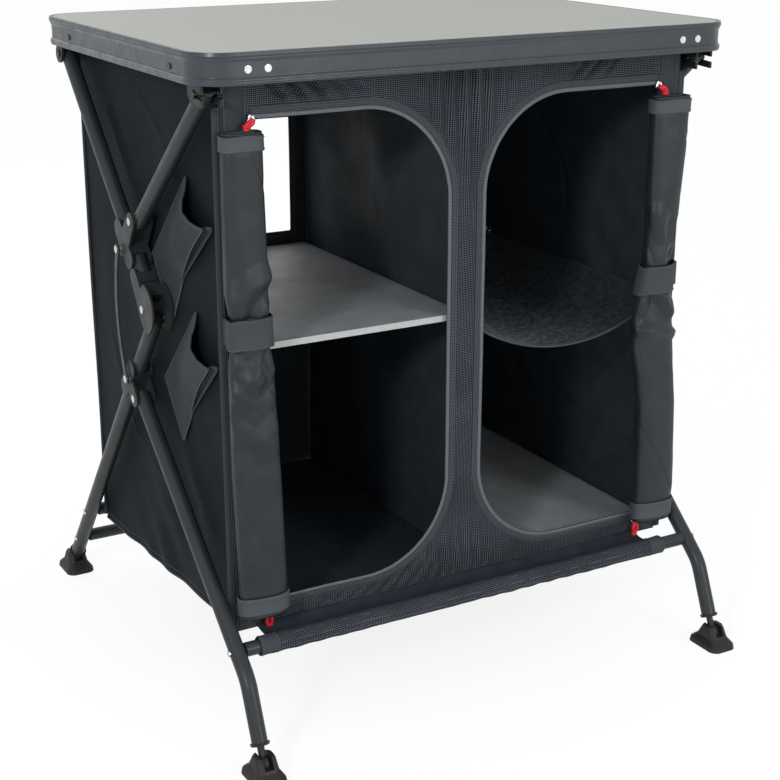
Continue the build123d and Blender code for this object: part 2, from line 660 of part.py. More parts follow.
# Back panel: cloth with a window opening on the left
with BuildPart() as back_panel:
    with BuildSketch(Plane.XY.offset(BACK_LOW)):
        wave(-CLOTH_X + 2, CLOTH_X - 2, 16, 2.0, CLOTH_T, BACK_Y, False)
    extrude(amount=CLOTH_TOP - BACK_LOW)
    with BuildSketch(Plane(origin=(WINDOW_X, BACK_Y + 20, WINDOW_Z), x_dir=(1, 0, 0), z_dir=(0, -1, 0))):
        RectangleRounded(WINDOW_W, WINDOW_H, 8)
    extrude(amount=40, mode=Mode.SUBTRACT)
save(back_panel.part, "back_panel")

# Centre divider between the two cupboards
with BuildPart() as centre_divider:
    with BuildSketch(Plane.XY.offset(BASE_Z + FLOOR_T + GAP)):
        wave(FRONT_Y + 5, BACK_Y - 6, 8, 1.5, CLOTH_T, DIVIDER_X, True)
    extrude(amount=CLOTH_TOP - BASE_Z - FLOOR_T - GAP)
save(centre_divider.part, "centre_divider")

# Floor of the cabinet and the board that lies on it at the right
INSIDE_X = CLOTH_X - SIDE_AMP - GAP


def board(left, right, front, back, z, corner):
    """The outline of a board that fits between two sides, the front and the back."""
    with BuildSketch(Plane(origin=((left + right) / 2, (front + back) / 2, z))) as outline:
        RectangleRounded(right - left, back - front, corner)
    return outline.sketch


with BuildPart() as floor_panel:
    extrude(board(-INSIDE_X, INSIDE_X, FRONT_Y + 6, BACK_Y - 5, BASE_Z, 6), amount=FLOOR_T)
save(floor_panel.part, "floor_panel")

with BuildPart() as right_base_board:
    outline = board(DIVIDER_X + 9.5, INSIDE_X - 4.6, FRONT_Y + 10.5, BACK_Y - 9.5, BASE_Z + FLOOR_T + GAP, 10)
    extrude(outline, amount=6)
    chamfer(right_base_board.faces().sort_by(Axis.Z)[-1].edges(), 0.8)
save(right_base_board.part, "right_base_board")

# Left shelf board with a pale front edge
BOARD_RIGHT = DIVIDER_X - 3.9
with BuildPart() as left_shelf_board:
    extrude(board(-INSIDE_X, BOARD_RIGHT, FRONT_Y + 8, BACK_Y - 5, BOARD_Z, 3), amount=8)
save(left_shelf_board.part, "left_shelf_board")

with BuildPart() as shelf_front_edge:
    with BuildSketch(Plane(origin=((BOARD_RIGHT - INSIDE_X) / 2, FRONT_Y + 7.1, BOARD_Z))):
        Rectangle(BOARD_RIGHT + INSIDE_X - 2, 1.4)
    extrude(amount=8)
save(shelf_front_edge.part, "shelf_front_edge")

# Net shelf: one sagging sheet of fine mesh, with a bound edge in front and behind
NET_L, NET_R = DIVIDER_X + 3.4, INSIDE_X
NET_Z = 484
NET_SAG = 52
NET_F, NET_B = FRONT_Y + 10, BACK_Y - 8
NET_T = 1.6


def sagging(low, thick, left, right):
    mid = (left + right) / 2
    with BuildLine() as outline:
        ThreePointArc((left, low), (mid, low - NET_SAG), (right, low))
        Line((right, low), (right, low + thick))
        ThreePointArc((right, low + thick), (mid, low + thick - NET_SAG), (left, low + thick))
        Line((left, low + thick), (left, low))
    make_face(outline.edges())


with BuildPart() as net_shelf:
    with BuildSketch(Plane(origin=(0, NET_B, 0), x_dir=(1, 0, 0), z_dir=(0, -1, 0))):
        sagging(NET_Z, NET_T, NET_L, NET_R)
    extrude(amount=NET_B - NET_F)
save(net_shelf.part, "net_shelf")

with BuildPart() as net_binding:
    for y in (NET_F - 5.4, NET_B + 0.4):
        with BuildSketch(Plane(origin=(0, y + 5, 0), x_dir=(1, 0, 0), z_dir=(0, -1, 0))):
            sagging(NET_Z - 2, NET_T + 4, NET_L, NET_R)
        extrude(amount=5)
    for x in (NET_L + 5, NET_R - 5):
        for y in (NET_F + 8, NET_B - 8):
            with BuildSketch(Plane.XY.offset(NET_Z + NET_T + GAP)):
                with Locations((x, y)):
                    Circle(4.5)
            extrude(amount=3)
save(net_binding.part, "net_binding")

# Flap of the floor cloth that runs forward to the front rail
FLAP_END = (FRONT_RAIL[0] + 11.4, FRONT_RAIL[1] + 1.8)
with BuildPart() as front_floor_flap:
    with BuildSketch(side(-CLOTH_X + 26)):
        with BuildLine():
            Polyline((TAPE_Y, BASE_Z - 5), (TAPE_Y, BASE_Z - 5 + CLOTH_T), (FLAP_END[0], FLAP_END[1] + CLOTH_T),
                     FLAP_END, close=True)
        make_face()
    extrude(amount=2 * CLOTH_X - 62)
save(front_floor_flap.part, "front_floor_flap")

# Rolled doors that hang at both sides of the front, drawn in by straps. Each step is a share of the
# opening's height, the roll's middle outward from the opening's edge, and its width.
ROLL_D = 28
STRAP_T = 1.3
ROLL_Y = TAPE_Y - ZIP_T - GAP - STRAP_T - GAP - ROLL_D / 2
LEFT_ROLL = ((0.983, 22, 49), (0.951, 22, 50), (0.868, 22, 51), (0.675, 21, 54), (0.630, 18.5, 53), (0.558, 17.5, 54),
             (0.513, 17, 58), (0.298, 14.5, 62), (0.072, 10.5, 63), (0.013, 10, 64), (-0.015, 10, 62))
RIGHT_ROLL = ((0.980, 7, 57), (0.960, 6, 58), (0.884, 5, 56), (0.658, 1, 46), (0.613, -1.3, 47), (0.539, -5.5, 57),
              (0.492, -4, 65), (0.424, -3, 65), (0.281, 8.3, 61), (0.072, 12.5, 63), (0.020, 11.3, 63), (-0.012, 11, 60))
ROLLS = (("left", OPENINGS[0][0], -1, LEFT_ROLL, ((0.948, 0.978), (0.563, 0.625), (-0.005, 0.034))),
         ("right", OPENINGS[1][1], 1, RIGHT_ROLL, ((0.945, 0.975), (0.544, 0.608), (-0.002, 0.039))))


def rise(share):
    """A height given as a share of the door opening."""
    return OPEN_LOW + share * (OPEN_HIGH - OPEN_LOW)


for name, edge, sign, steps, bands in ROLLS:
    with BuildPart() as roll:
        for share, out, w in steps:
            with BuildSketch(Plane(origin=(edge + sign * out, ROLL_Y, rise(share)))):
                RectangleRounded(w, ROLL_D, 11)
        loft(ruled=True)
    save(roll.part, f"{name}_door_roll")

with BuildPart() as door_straps:
    for name, edge, sign, steps, bands in ROLLS:
        for low, high in bands:
            near = [s for s in steps if low - 0.04 < s[0] < high + 0.04]
            x = edge + sign * sum(s[1] for s in near) / len(near)
            w = max(2 * abs(edge + sign * s[1] - x) + s[2] for s in near)
            with BuildSketch(Plane(origin=(x, ROLL_Y, rise(low)))):
                RectangleRounded(w + 2 * (GAP + STRAP_T), ROLL_D + 2 * (GAP + STRAP_T), 12.5)
                RectangleRounded(w + 2 * GAP, ROLL_D + 2 * GAP, 11.3, mode=Mode.SUBTRACT)
            extrude(amount=rise(high) - rise(low))
save(door_straps.part, "door_straps")

# Zip sliders with pull tabs at the outer ends of both zips
with BuildPart() as zip_pulls:
    for x, z in ((OPENINGS[0][0] - 1, OPEN_HIGH - 1), (OPENINGS[0][0], OPEN_LOW - 17),
                 (OPENINGS[1][1], OPEN_HIGH - 1), (OPENINGS[1][1], OPEN_LOW - 17)):
        for w, h, t in ((7, 9, 3.0), (4.4, 14, 1.8)):
            with BuildSketch(Plane(origin=(x, TAPE_Y - ZIP_T - GAP, z), x_dir=(1, 0, 0), z_dir=(0, -1, 0))):
                Rectangle(w, h)
            extrude(amount=t)
save(zip_pulls.part, "zip_pulls")

# Pockets on the left side: bulging pouches, open at the top
POCKET_WALL = 1.4
POCKET_IN = -CLOTH_X - CLOTH_T - SIDE_AMP - GAP
POCKET_OUT = POCKET_IN - 20.5
for name, width, low, high, drop in (("upper_pocket", 118, 540, 660, 26), ("lower_pocket", 110, 384, 500, 26)):
    front_y, back_y = FRONT_Y + 4, FRONT_Y + 4 + width
    with BuildPart() as pocket:
        for wall, rise, mode in ((0, 0, Mode.ADD), (POCKET_WALL, 20, Mode.SUBTRACT)):
            for x, inset in ((POCKET_IN + (1 if wall else 0), 0), (POCKET_OUT + wall, 16)):
                with BuildSketch(side(x)):
                    with BuildLine():
                        Polyline((front_y + inset + wall, low + inset + drop + wall),
                                 (back_y - inset - wall, low + inset + wall),
                                 (back_y - inset - wall, high + rise), (front_y + inset + wall, high + rise + drop),
                                 close=True)
                    make_face()
            loft(mode=mode)
    save(pocket.part, name)
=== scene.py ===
# %% [markdown]
# A folding camping cupboard: a laminate table on crossed tube legs, with a cloth cabinet hung
# between them. The hard pieces come ready made from the construction model and only need their
# finishes. Every soft piece is built new here as real cloth: thin, creased, bound and stitched.

# %% Load the construction model
import math

import bpy
import numpy as np
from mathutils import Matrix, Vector


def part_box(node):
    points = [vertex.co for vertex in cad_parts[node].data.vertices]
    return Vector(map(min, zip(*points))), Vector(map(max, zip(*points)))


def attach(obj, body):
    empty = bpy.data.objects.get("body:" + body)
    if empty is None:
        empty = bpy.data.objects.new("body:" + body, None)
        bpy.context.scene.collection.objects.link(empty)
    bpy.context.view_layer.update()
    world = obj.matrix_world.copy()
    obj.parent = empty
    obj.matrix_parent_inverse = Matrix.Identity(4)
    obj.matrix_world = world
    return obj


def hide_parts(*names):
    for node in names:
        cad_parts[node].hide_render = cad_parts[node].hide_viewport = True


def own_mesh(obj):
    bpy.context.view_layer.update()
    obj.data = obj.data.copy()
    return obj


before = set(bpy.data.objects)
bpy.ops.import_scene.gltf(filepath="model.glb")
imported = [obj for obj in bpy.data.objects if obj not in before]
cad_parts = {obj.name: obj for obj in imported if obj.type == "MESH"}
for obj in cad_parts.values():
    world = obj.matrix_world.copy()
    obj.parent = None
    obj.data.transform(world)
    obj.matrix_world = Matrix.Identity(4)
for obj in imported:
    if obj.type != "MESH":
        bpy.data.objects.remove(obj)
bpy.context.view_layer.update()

# %% [markdown]
# Finishes are small graphs of nodes. Photographs of cloth or paint could be wrapped round the
# pieces instead, but a graph stays sharp at any distance and follows the size of the real grain.
# These few helpers keep each graph down to a handful of lines.


# %% Tools for finishes
def finish(name, color, rough, metal=0.0, specular=0.35):
    """A new material with a plain colour, a roughness, a share of metal and a strength of shine."""
    made = bpy.data.materials.new(name)
    made.use_nodes = True
    shader = made.node_tree.nodes["Principled BSDF"]
    shader.inputs["Base Color"].default_value = (*color, 1)
    shader.inputs["Roughness"].default_value = rough
    shader.inputs["Metallic"].default_value = metal
    shader.inputs["Specular IOR Level"].default_value = specular
    return made, made.node_tree, shader


def node(tree, kind, links=(), **values):
    """A new node: links feed its inputs, in_2 sets input 2, and any other word sets a property."""
    made = tree.nodes.new(kind)
    for key, value in values.items():
        if key.startswith("in_"):
            made.inputs[int(key[3:])].default_value = value
        else:
            setattr(made, key, value)
    for index, source in links:
        tree.links.new(source, made.inputs[index])
    return made


def sums(tree, operation, a, b=None):
    """One step of arithmetic; a and b are numbers or the outputs of other nodes."""
    made = tree.nodes.new("ShaderNodeMath")
    made.operation = operation
    for k, value in enumerate((a, b)):
        if isinstance(value, (int, float)):
            made.inputs[k].default_value = value
        elif value is not None:
            tree.links.new(value, made.inputs[k])
    return made.outputs[0]


def noise(tree, scale, detail, rough=0.5, stretch=None):
    """A noise fixed to the piece, with about as many grains to the metre as scale says."""
    at = node(tree, "ShaderNodeTexCoord").outputs["Object"]
    if stretch:
        at = node(tree, "ShaderNodeMapping", [(0, at)], in_3=stretch).outputs[0]
    return node(tree, "ShaderNodeTexNoise", [(0, at)], in_2=scale, in_3=detail, in_4=rough).outputs[0]


def spread(tree, value, low, high, a, b):
    """Stretch what lies between low and high over the range from a to b."""
    return node(tree, "ShaderNodeMapRange", [(0, value)], in_1=low, in_2=high, in_3=a, in_4=b).outputs[0]


def mix(tree, share, a, b):
    """Blend from colour a to colour b as share goes from 0 to 1."""
    made = tree.nodes.new("ShaderNodeMix")
    made.data_type = "RGBA"
    tree.links.new(share, made.inputs[0])
    for index, value in ((6, a), (7, b)):
        if isinstance(value, tuple):
            made.inputs[index].default_value = (*value, 1)
        else:
            tree.links.new(value, made.inputs[index])
    return made.outputs[2]


def bump(tree, shader, height, distance, strength):
    """Add relief on top of any relief that the finish already has."""
    made = node(tree, "ShaderNodeBump", in_0=strength, in_1=distance)
    tree.links.new(height, made.inputs["Height"])
    last = shader.inputs["Normal"].links
    if last:
        tree.links.new(last[0].from_socket, made.inputs["Normal"])
    tree.links.new(made.outputs[0], shader.inputs["Normal"])


# %% [markdown]
# The tubes, the rim and the stays are powder coated: paint dust melted on, which leaves a fine
# orange peel. A gloss paint would be one colour with no bump; here a slow change of gloss, a grain
# of a tenth of a millimetre and a little rubbed dust in patches give away the real process.


# %% Powder coat
def painted(name, color, rough, grain=900, specular=0.35):
    made, tree, shader = finish(name, color, rough, specular=specular)
    dusty = spread(tree, noise(tree, 14, 5, 0.6), 0.42, 0.72, 0, 0.4)
    rubbed = tuple(c * t for c, t in zip(color, (1.4, 1.37, 1.32)))
    tree.links.new(mix(tree, dusty, color, rubbed), shader.inputs["Base Color"])
    gloss = spread(tree, noise(tree, 60, 3), 0.3, 0.7, rough - 0.07, rough + 0.09)
    tree.links.new(gloss, shader.inputs["Roughness"])
    bump(tree, shader, noise(tree, grain, 2), 0.00012, 0.35)
    return made


TUBE = painted("tube_powder_coat", (0.022, 0.0265, 0.029), 0.38, specular=0.25)
RIM = painted("rim_powder_coat", (0.040, 0.048, 0.054), 0.30, grain=1200, specular=0.27)
STAY = painted("stay_powder_coat", (0.017, 0.020, 0.022), 0.40, specular=0.25)

# Three fine lines of the extrusion run round the rim, at these heights
RIM_LINES = (0.8185, 0.8225, 0.8440)
LINE_WIDTH = 0.0009
LINE_DEPTH = 0.0006
tree, shader = RIM.node_tree, RIM.node_tree.nodes["Principled BSDF"]
place = node(tree, "ShaderNodeTexCoord").outputs["Object"]
height = node(tree, "ShaderNodeSeparateXYZ", [(0, place)]).outputs[2]
for level in RIM_LINES:
    off = sums(tree, "ABSOLUTE", sums(tree, "SUBTRACT", height, level))
    groove = sums(tree, "MINIMUM", sums(tree, "DIVIDE", off, LINE_WIDTH), 1.0)
    bump(tree, shader, groove, LINE_DEPTH, 0.8)
SCREW = painted("dark_screw", (0.012, 0.012, 0.012), 0.3, grain=1800)
print("powder coats", TUBE.name, RIM.name, STAY.name, SCREW.name)

# %% [markdown]
# Hubs, end caps and feet are moulded. A mould is spark eroded, so its skin is an even matt grain,
# polished a little where hands and straps rub it. One slow noise paints the rubbed patches and
# another varies the gloss; a single gloss all over would look like a drawing of plastic.


# %% Moulded plastic and rubber
def moulded(name, color, rough, grain=1500):
    made, tree, shader = finish(name, color, rough)
    gloss = spread(tree, noise(tree, 40, 4), 0.3, 0.7, rough - 0.1, rough + 0.08)
    tree.links.new(gloss, shader.inputs["Roughness"])
    rubbed = spread(tree, noise(tree, 25, 4), 0.45, 0.75, 0, 0.5)
    tree.links.new(mix(tree, rubbed, color, tuple(c * 1.5 for c in color)), shader.inputs["Base Color"])
    bump(tree, shader, noise(tree, grain, 3), 0.0002, 0.4)
    return made


HUB = moulded("hub_moulding", (0.016, 0.0195, 0.0215), 0.5)
# The hinge brackets are dark moulding, made darker still as painted shade because they sit under the rim.
SHADED_BRACKET = moulded("shade_darkened_bracket", (0.010, 0.0105, 0.011), 0.55)
CAP = moulded("cap_moulding", (0.009, 0.009, 0.0095), 0.5)
FOOT = moulded("foot_rubber", (0.0085, 0.0085, 0.0085), 0.6, grain=900)
print("mouldings", HUB.name, SHADED_BRACKET.name, CAP.name, FOOT.name)

# %% [markdown]
# Bare metal shows only in rivets, screws, hooks and zip sliders. A perfect mirror looks drawn, so
# a fine noise breaks up the roughness, as brushing and fingers do.


# %% Bare metal
def bare_metal(name, color, rough, grain, low, high):
    made, tree, shader = finish(name, color, rough, 1.0, 0.5)
    gloss = spread(tree, noise(tree, grain, 4), 0.35, 0.7, low, high)
    tree.links.new(gloss, shader.inputs["Roughness"])
    return made


CHROME = bare_metal("polished_metal", (0.78, 0.78, 0.79), 0.14, 300, 0.08, 0.26)
RIVET = bare_metal("rivet_steel", (0.58, 0.58, 0.57), 0.3, 500, 0.2, 0.42)
# The hinge pins are steel, but they sit under the rim and are coloured dark as painted shade.
SHADED_PIN = bare_metal("shade_darkened_pin", (0.045, 0.045, 0.046), 0.45, 400, 0.38, 0.55)
print("metals", CHROME.name, RIVET.name, SHADED_PIN.name)

# %% [markdown]
# The table top is pressed laminate: a warm grey print with a very fine speck, satin, with a few
# faint rub marks that run along its length. Colour speck and gloss marks are separate noises,
# because on the real sheet the print lies under the wear.

# %% Laminate and the pale board edge
LAMINATE, tree, shader = finish("table_laminate", (0.43, 0.429, 0.396), 0.6, specular=0.22)
speck = spread(tree, noise(tree, 1400, 2, 0.7), 0.42, 0.58, 0, 1)
cloud = spread(tree, noise(tree, 5, 4), 0.35, 0.65, 0, 0.3)
grain = mix(tree, speck, (0.402, 0.404, 0.370), (0.471, 0.473, 0.438))
tree.links.new(mix(tree, cloud, grain, (0.414, 0.417, 0.384)), shader.inputs["Base Color"])
rubs = noise(tree, 12, 6, 0.7, stretch=(1, 4, 1))
tree.links.new(spread(tree, rubs, 0.35, 0.7, 0.57, 0.61), shader.inputs["Roughness"])
bump(tree, shader, noise(tree, 1400, 2), 0.00008, 0.3)

EDGE, tree, shader = finish("pale_edge", (0.36, 0.365, 0.36), 0.45)
bump(tree, shader, noise(tree, 700, 3), 0.0001, 0.4)
patches = spread(tree, noise(tree, 90, 4), 0.4, 0.8, 0, 0.5)
tree.links.new(mix(tree, patches, (0.40, 0.405, 0.40), (0.33, 0.335, 0.33)), shader.inputs["Base Color"])
print("table", LAMINATE.name, "board edge", EDGE.name)

# %% [markdown]
# Now each hard node gets its finish. The edges of the mouldings and the stays are rounded by half a
# millimetre with a bevel modifier, because a real edge catches a thin line of light; rounding them
# in the construction model instead would only make that model heavy.

# %% Finish the hard pieces
HARD = (
    (LAMINATE, ("table_panel",)),
    (RIM, ("table_rim",)),
    (CHROME, ("rim_rivets",)),
    (SCREW, ("rim_screws",)),
    (SHADED_BRACKET, ("rear_hinge_brackets", "front_arm_brackets")),
    (SHADED_PIN, ("rear_hinge_pins", "front_arm_pins")),
    (TUBE, ("left_rear_arm", "right_rear_arm", "left_front_arm", "right_front_arm")),
    (TUBE, ("left_rear_leg", "right_rear_leg", "left_front_leg", "right_front_leg")),
    (TUBE, ("rear_rails", "front_rail")),
    (STAY, ("left_stay", "right_stay", "knee_saddles")),
    (HUB, ("upper_hubs", "lower_hubs", "knee_clevises")),
    (RIVET, ("upper_hub_rivets", "leg_rivets", "stay_rivets", "rear_rail_screws", "front_rail_screws")),
    (CAP, ("rear_arm_caps", "front_arm_caps", "rear_leg_caps", "front_leg_caps")),
    (CAP, ("rear_foot_plugs", "front_foot_plugs")),
    (FOOT, ("left_rear_foot_pad", "right_rear_foot_pad", "left_front_foot_pad", "right_front_foot_pad")),
    (EDGE, ("shelf_front_edge",)),
)
ROUNDED = (HUB, SHADED_BRACKET, FOOT, CAP, STAY)
EDGE_ROUND = 0.0005
for material, names in HARD:
    for name in names:
        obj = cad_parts[name]
        obj.data.materials.clear()
        obj.data.materials.append(material)
        if material in ROUNDED:
            edge = obj.modifiers.new("edge", "BEVEL")
            edge.width = EDGE_ROUND
            edge.segments = 2
            edge.limit_method = "ANGLE"
            edge.angle_limit = math.radians(40)
            edge.harden_normals = True
print("finished", sum(len(names) for _, names in HARD), "hard nodes")

# %% [markdown]
# A cloth is a grid of points. It could be simulated from flat, but the photograph shows exactly
# where this one is pulled, so the folds are written as waves and the grid follows them. Lengths
# are in millimetres here and turned into metres in one place. The flat pattern is kept as a map,
# so that weave and stitches follow the cloth through every fold.


# %% Tools for cloth
def mesh(name, verts, faces, material, body, uv=None):
    """A mesh from points in millimetres, with its finish, riding a body of the model."""
    data = bpy.data.meshes.new(name)
    data.from_pydata([tuple(v) for v in np.asarray(verts, float) * 0.001], [], faces)
    if uv is not None:
        layer = data.uv_layers.new(name="cloth")
        index = np.zeros(len(data.loops), int)
        data.loops.foreach_get("vertex_index", index)
        layer.data.foreach_set("uv", (np.asarray(uv, float)[index] * 0.001).ravel())
    data.polygons.foreach_set("use_smooth", [True] * len(data.polygons))
    data.update()
    obj = bpy.data.objects.new(name, data)
    bpy.context.scene.collection.objects.link(obj)
    data.materials.append(material)
    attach(obj, body)
    return obj


def grid_faces(rows, cols, keep=None, wrap=False):
    """The squares between rows and columns of points; wrap closes the rows, keep leaves squares out."""
    faces = []
    for i in range(rows - 1):
        for j in range(cols if wrap else cols - 1):
            if keep is None or keep[i, j]:
                k = (j + 1) % cols
                faces.append((i * cols + j, i * cols + k, (i + 1) * cols + k, (i + 1) * cols + j))
    return faces


def cloth(name, points, material, body, uv=None, keep=None, thick=0.9, wrap=False, behind=None):
    """A sheet through a grid of points, thick in millimetres, with another finish behind if asked."""
    rows, cols = points.shape[:2]
    if uv is None:
        du = np.linalg.norm(np.diff(points, axis=1), axis=2).mean(0)
        dv = np.linalg.norm(np.diff(points, axis=0), axis=2).mean(1)
        u, v = np.concatenate([[0], du.cumsum()]), np.concatenate([[0], dv.cumsum()])
        uv = np.stack(np.meshgrid(u, v), axis=2)
    faces = grid_faces(rows, cols, keep, wrap)
    used = np.unique(np.array(faces))
    renumber = -np.ones(rows * cols, int)
    renumber[used] = np.arange(len(used))
    faces = [tuple(int(renumber[k]) for k in f) for f in faces]
    obj = mesh(name, points.reshape(-1, 3)[used], faces, material, body, uv.reshape(-1, 2)[used])
    if thick:
        solid = obj.modifiers.new("thickness", "SOLIDIFY")
        solid.thickness, solid.offset = thick * 0.001, 0
        if behind:
            obj.data.materials.append(behind)
            solid.material_offset = 1
    return obj


def ramp(x, a, b):
    """A smooth step, from 0 at a to 1 at b."""
    t = np.clip((np.asarray(x, float) - a) / (b - a), 0, 1)
    return t * t * (3 - 2 * t)


def bell(x, middle, width):
    """A smooth bump: 1 in the middle and nearly nothing two widths away."""
    return np.exp(-(((np.asarray(x, float) - middle) / width) ** 2))


def ripple(u, v, seed, scale, octaves=4):
    """Gentle unevenness: waves in drawn directions, finer and weaker with each octave."""
    rng = np.random.default_rng(seed)
    total = np.zeros(np.broadcast(u, v).shape)
    for k in range(octaves):
        for _ in range(3):
            a = rng.uniform(0, 2 * math.pi)
            f = scale * 2**k
            total = total + np.sin((u * math.cos(a) + v * math.sin(a)) * f + rng.uniform(0, 6.3)) / 2**k
    return total / 3


def crease(u, v, line, height, width, flat=False):
    """A sharp fold along a line of points; flat gives it two plane sides instead of hollow ones."""
    best = np.full(np.broadcast(u, v).shape, 1e9)
    for (a, b), (c, d) in zip(line, line[1:]):
        run = (c - a) ** 2 + (d - b) ** 2
        t = np.clip(((u - a) * (c - a) + (v - b) * (d - b)) / run, 0, 1)
        best = np.minimum(best, np.hypot(u - a - t * (c - a), v - b - t * (d - b)))
    return height * np.clip(1 - best / width, 0, 1) if flat else height * np.exp(-best / width)


def pack_up(obj):
    """Gives the piece a mesh of its own."""
    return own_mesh(obj)


# %% [markdown]
# The cabinet is sewn from coated mesh. Close up it is a lattice of small pale knots on a nearly
# black ground; modelling each knot would take millions of faces, so two crossing waves on the flat
# pattern draw them, and the same waves drive a bump. The walls use a ribbed relative of it.


# %% Mesh cloth
def flat_uv(tree):
    """Where a spot lies on the flat pattern, in metres across and along the cloth."""
    at = node(tree, "ShaderNodeUVMap", uv_map="cloth").outputs[0]
    parts = node(tree, "ShaderNodeSeparateXYZ", [(0, at)])
    return parts.outputs[0], parts.outputs[1]


def waves(tree, source, pitch):
    """A row of waves between 0 and 1, pitch millimetres apart."""
    turned = sums(tree, "MULTIPLY", source, 2 * math.pi / (pitch * 0.001))
    return sums(tree, "ADD", sums(tree, "MULTIPLY", sums(tree, "SINE", turned), 0.5), 0.5)


def mesh_cloth(name, dark, light, pitch_u, pitch_v, dots=1.0, ribs=0.0):
    """Pale knots where two rows of waves cross, and ribs along one of the rows."""
    made, tree, shader = finish(name, dark, 0.7, specular=0.08)
    u, v = flat_uv(tree)
    across, down = waves(tree, u, pitch_u), waves(tree, v, pitch_v)
    knots = sums(tree, "POWER", sums(tree, "MULTIPLY", across, down), 1.9)
    lines = sums(tree, "POWER", down, 2.5)
    height = sums(tree, "ADD", sums(tree, "MULTIPLY", knots, dots), sums(tree, "MULTIPLY", lines, ribs))
    cloud = spread(tree, noise(tree, 9, 4, 0.6), 0.3, 0.75, 0.6, 1.15)
    share = sums(tree, "MULTIPLY", height, cloud)
    share.node.use_clamp = True
    tree.links.new(mix(tree, share, dark, light), shader.inputs["Base Color"])
    bump(tree, shader, height, 0.0004, 0.6)
    return made


MESH_FRONT = mesh_cloth("front_mesh", (0.0065, 0.0085, 0.011), (0.24, 0.272, 0.318), 2.3, 2.3)
MESH_SIDE = mesh_cloth("side_mesh", (0.002, 0.003, 0.0045), (0.023, 0.031, 0.038), 1.8, 2.6,
                       dots=0.15, ribs=0.85)
MESH_POCKET = mesh_cloth("pocket_mesh", (0.007, 0.0085, 0.0105), (0.20, 0.225, 0.25), 2.6, 2.4,
                         dots=0.8, ribs=0.2)
print("mesh cloths", MESH_FRONT.name, MESH_SIDE.name, MESH_POCKET.name)

# %% [markdown]
# The doors, the divider, the floor and the inner face of every wall are smooth coated cloth. Its
# weave is nearly hidden by the film, so what shows are soft crumples and patches of dull shine.
# One noise varies the gloss, a second paints paler patches into the colour as painted sheen, and a
# third gives the crumples. A sheet's second face can carry a finish of its own, as real coating does.


# %% Coated cloth
def coated_cloth(name, color, rough, pitch, specular, ribs=0.0, crumple=0.0026):
    """A fine weave under a film: soft crumples, patches of shine and painted sheen and, if asked, ribs."""
    made, tree, shader = finish(name, color, rough, specular=specular)
    u, v = flat_uv(tree)
    weft = pitch * 1.7
    height = sums(tree, "ADD", waves(tree, u, pitch), sums(tree, "MULTIPLY", waves(tree, v, weft), 1 + ribs))
    gloss = spread(tree, noise(tree, 18, 5, 0.6), 0.3, 0.7, rough - 0.1, rough + 0.1)
    tree.links.new(gloss, shader.inputs["Roughness"])
    # The paler patches mixed into the colour below are painted sheen.
    painted_sheen = spread(tree, noise(tree, 30, 5, 0.65), 0.4, 0.75, 0, 0.5)
    crests = sums(tree, "POWER", waves(tree, v, weft), 3.0)
    share = sums(tree, "ADD", painted_sheen, sums(tree, "MULTIPLY", crests, ribs))
    share.node.use_clamp = True
    pale = tuple(c * 1.5 + 0.006 for c in color)
    tree.links.new(mix(tree, share, color, pale), shader.inputs["Base Color"])
    bump(tree, shader, height, 0.00012, 0.5)
    bump(tree, shader, noise(tree, 28, 4, 0.55), crumple, 0.32)
    return made


INSIDE = coated_cloth("inside_cloth", (0.021, 0.0285, 0.0355), 0.6, 0.8, specular=0.13)
DOOR = coated_cloth("door_cloth", (0.0100, 0.0142, 0.0178), 0.47, 1.4, specular=0.32,
                    ribs=0.2, crumple=0.0009)
BOARD = coated_cloth("board_cloth", (0.255, 0.268, 0.280), 0.42, 1.0, specular=0.4)
print("coated cloths", INSIDE.name, DOOR.name, BOARD.name)

# %% [markdown]
# The front panel: one piece of mesh hung from the table, with two tall openings cut in it. A
# boolean cut would leave ragged triangles, so the squares inside an opening are left out of the
# grid and the cut edge is moved onto the true outline. It is pulled towards its upper corners,
# which gives the slanting creases at the left, and gathered into pleats above and below the middle.
# The tape round an opening and the seam at the foot are stiff, so every fold fades before them.

# %% Front panel
# The cloth's front and back planes, half its width, and the panel's top and foot
FRONT, BACK, SIDE, TOP, LOW = -226.0, 240.0, 327.0, 837.0, 137.0
# Each opening's left and right edge, and the side where its corners are round: 1 right, -1 left
DOORS = ((-288.0, -25.0, 1), (30.0, 291.0, -1))
DOOR_LOW, DOOR_HIGH = 172.0, 769.0
DOOR_R, SQUARE_R = 118.0, 4.0
# Each slanting crease: where it starts along the top, how deep it is, and which way it leans
SLANTS = (
    (-290, 8.0, 1),
    (-264, 9.5, 1),
    (-239, 9.0, 1),
    (-210, 6.0, 1),
    (-184, 4.0, 1),
    (252, 6.0, -1),
    (226, 7.0, -1),
    (203, 5.0, -1),
)
SLANT_TOP, SLANT_SLOPE = 835, 0.92


def door_distance(x, z, left, right, curved):
    """How far a spot lies outside an opening, in millimetres; inside it the number is negative."""
    middle, half = (left + right) / 2, (right - left) / 2
    px, pz = (x - middle) * curved, z - (DOOR_LOW + DOOR_HIGH) / 2
    r = np.where(px > 0, DOOR_R, SQUARE_R)
    qx, qz = np.abs(px) - half + r, np.abs(pz) - (DOOR_HIGH - DOOR_LOW) / 2 + r
    return np.hypot(np.maximum(qx, 0), np.maximum(qz, 0)) + np.minimum(np.maximum(qx, qz), 0) - r


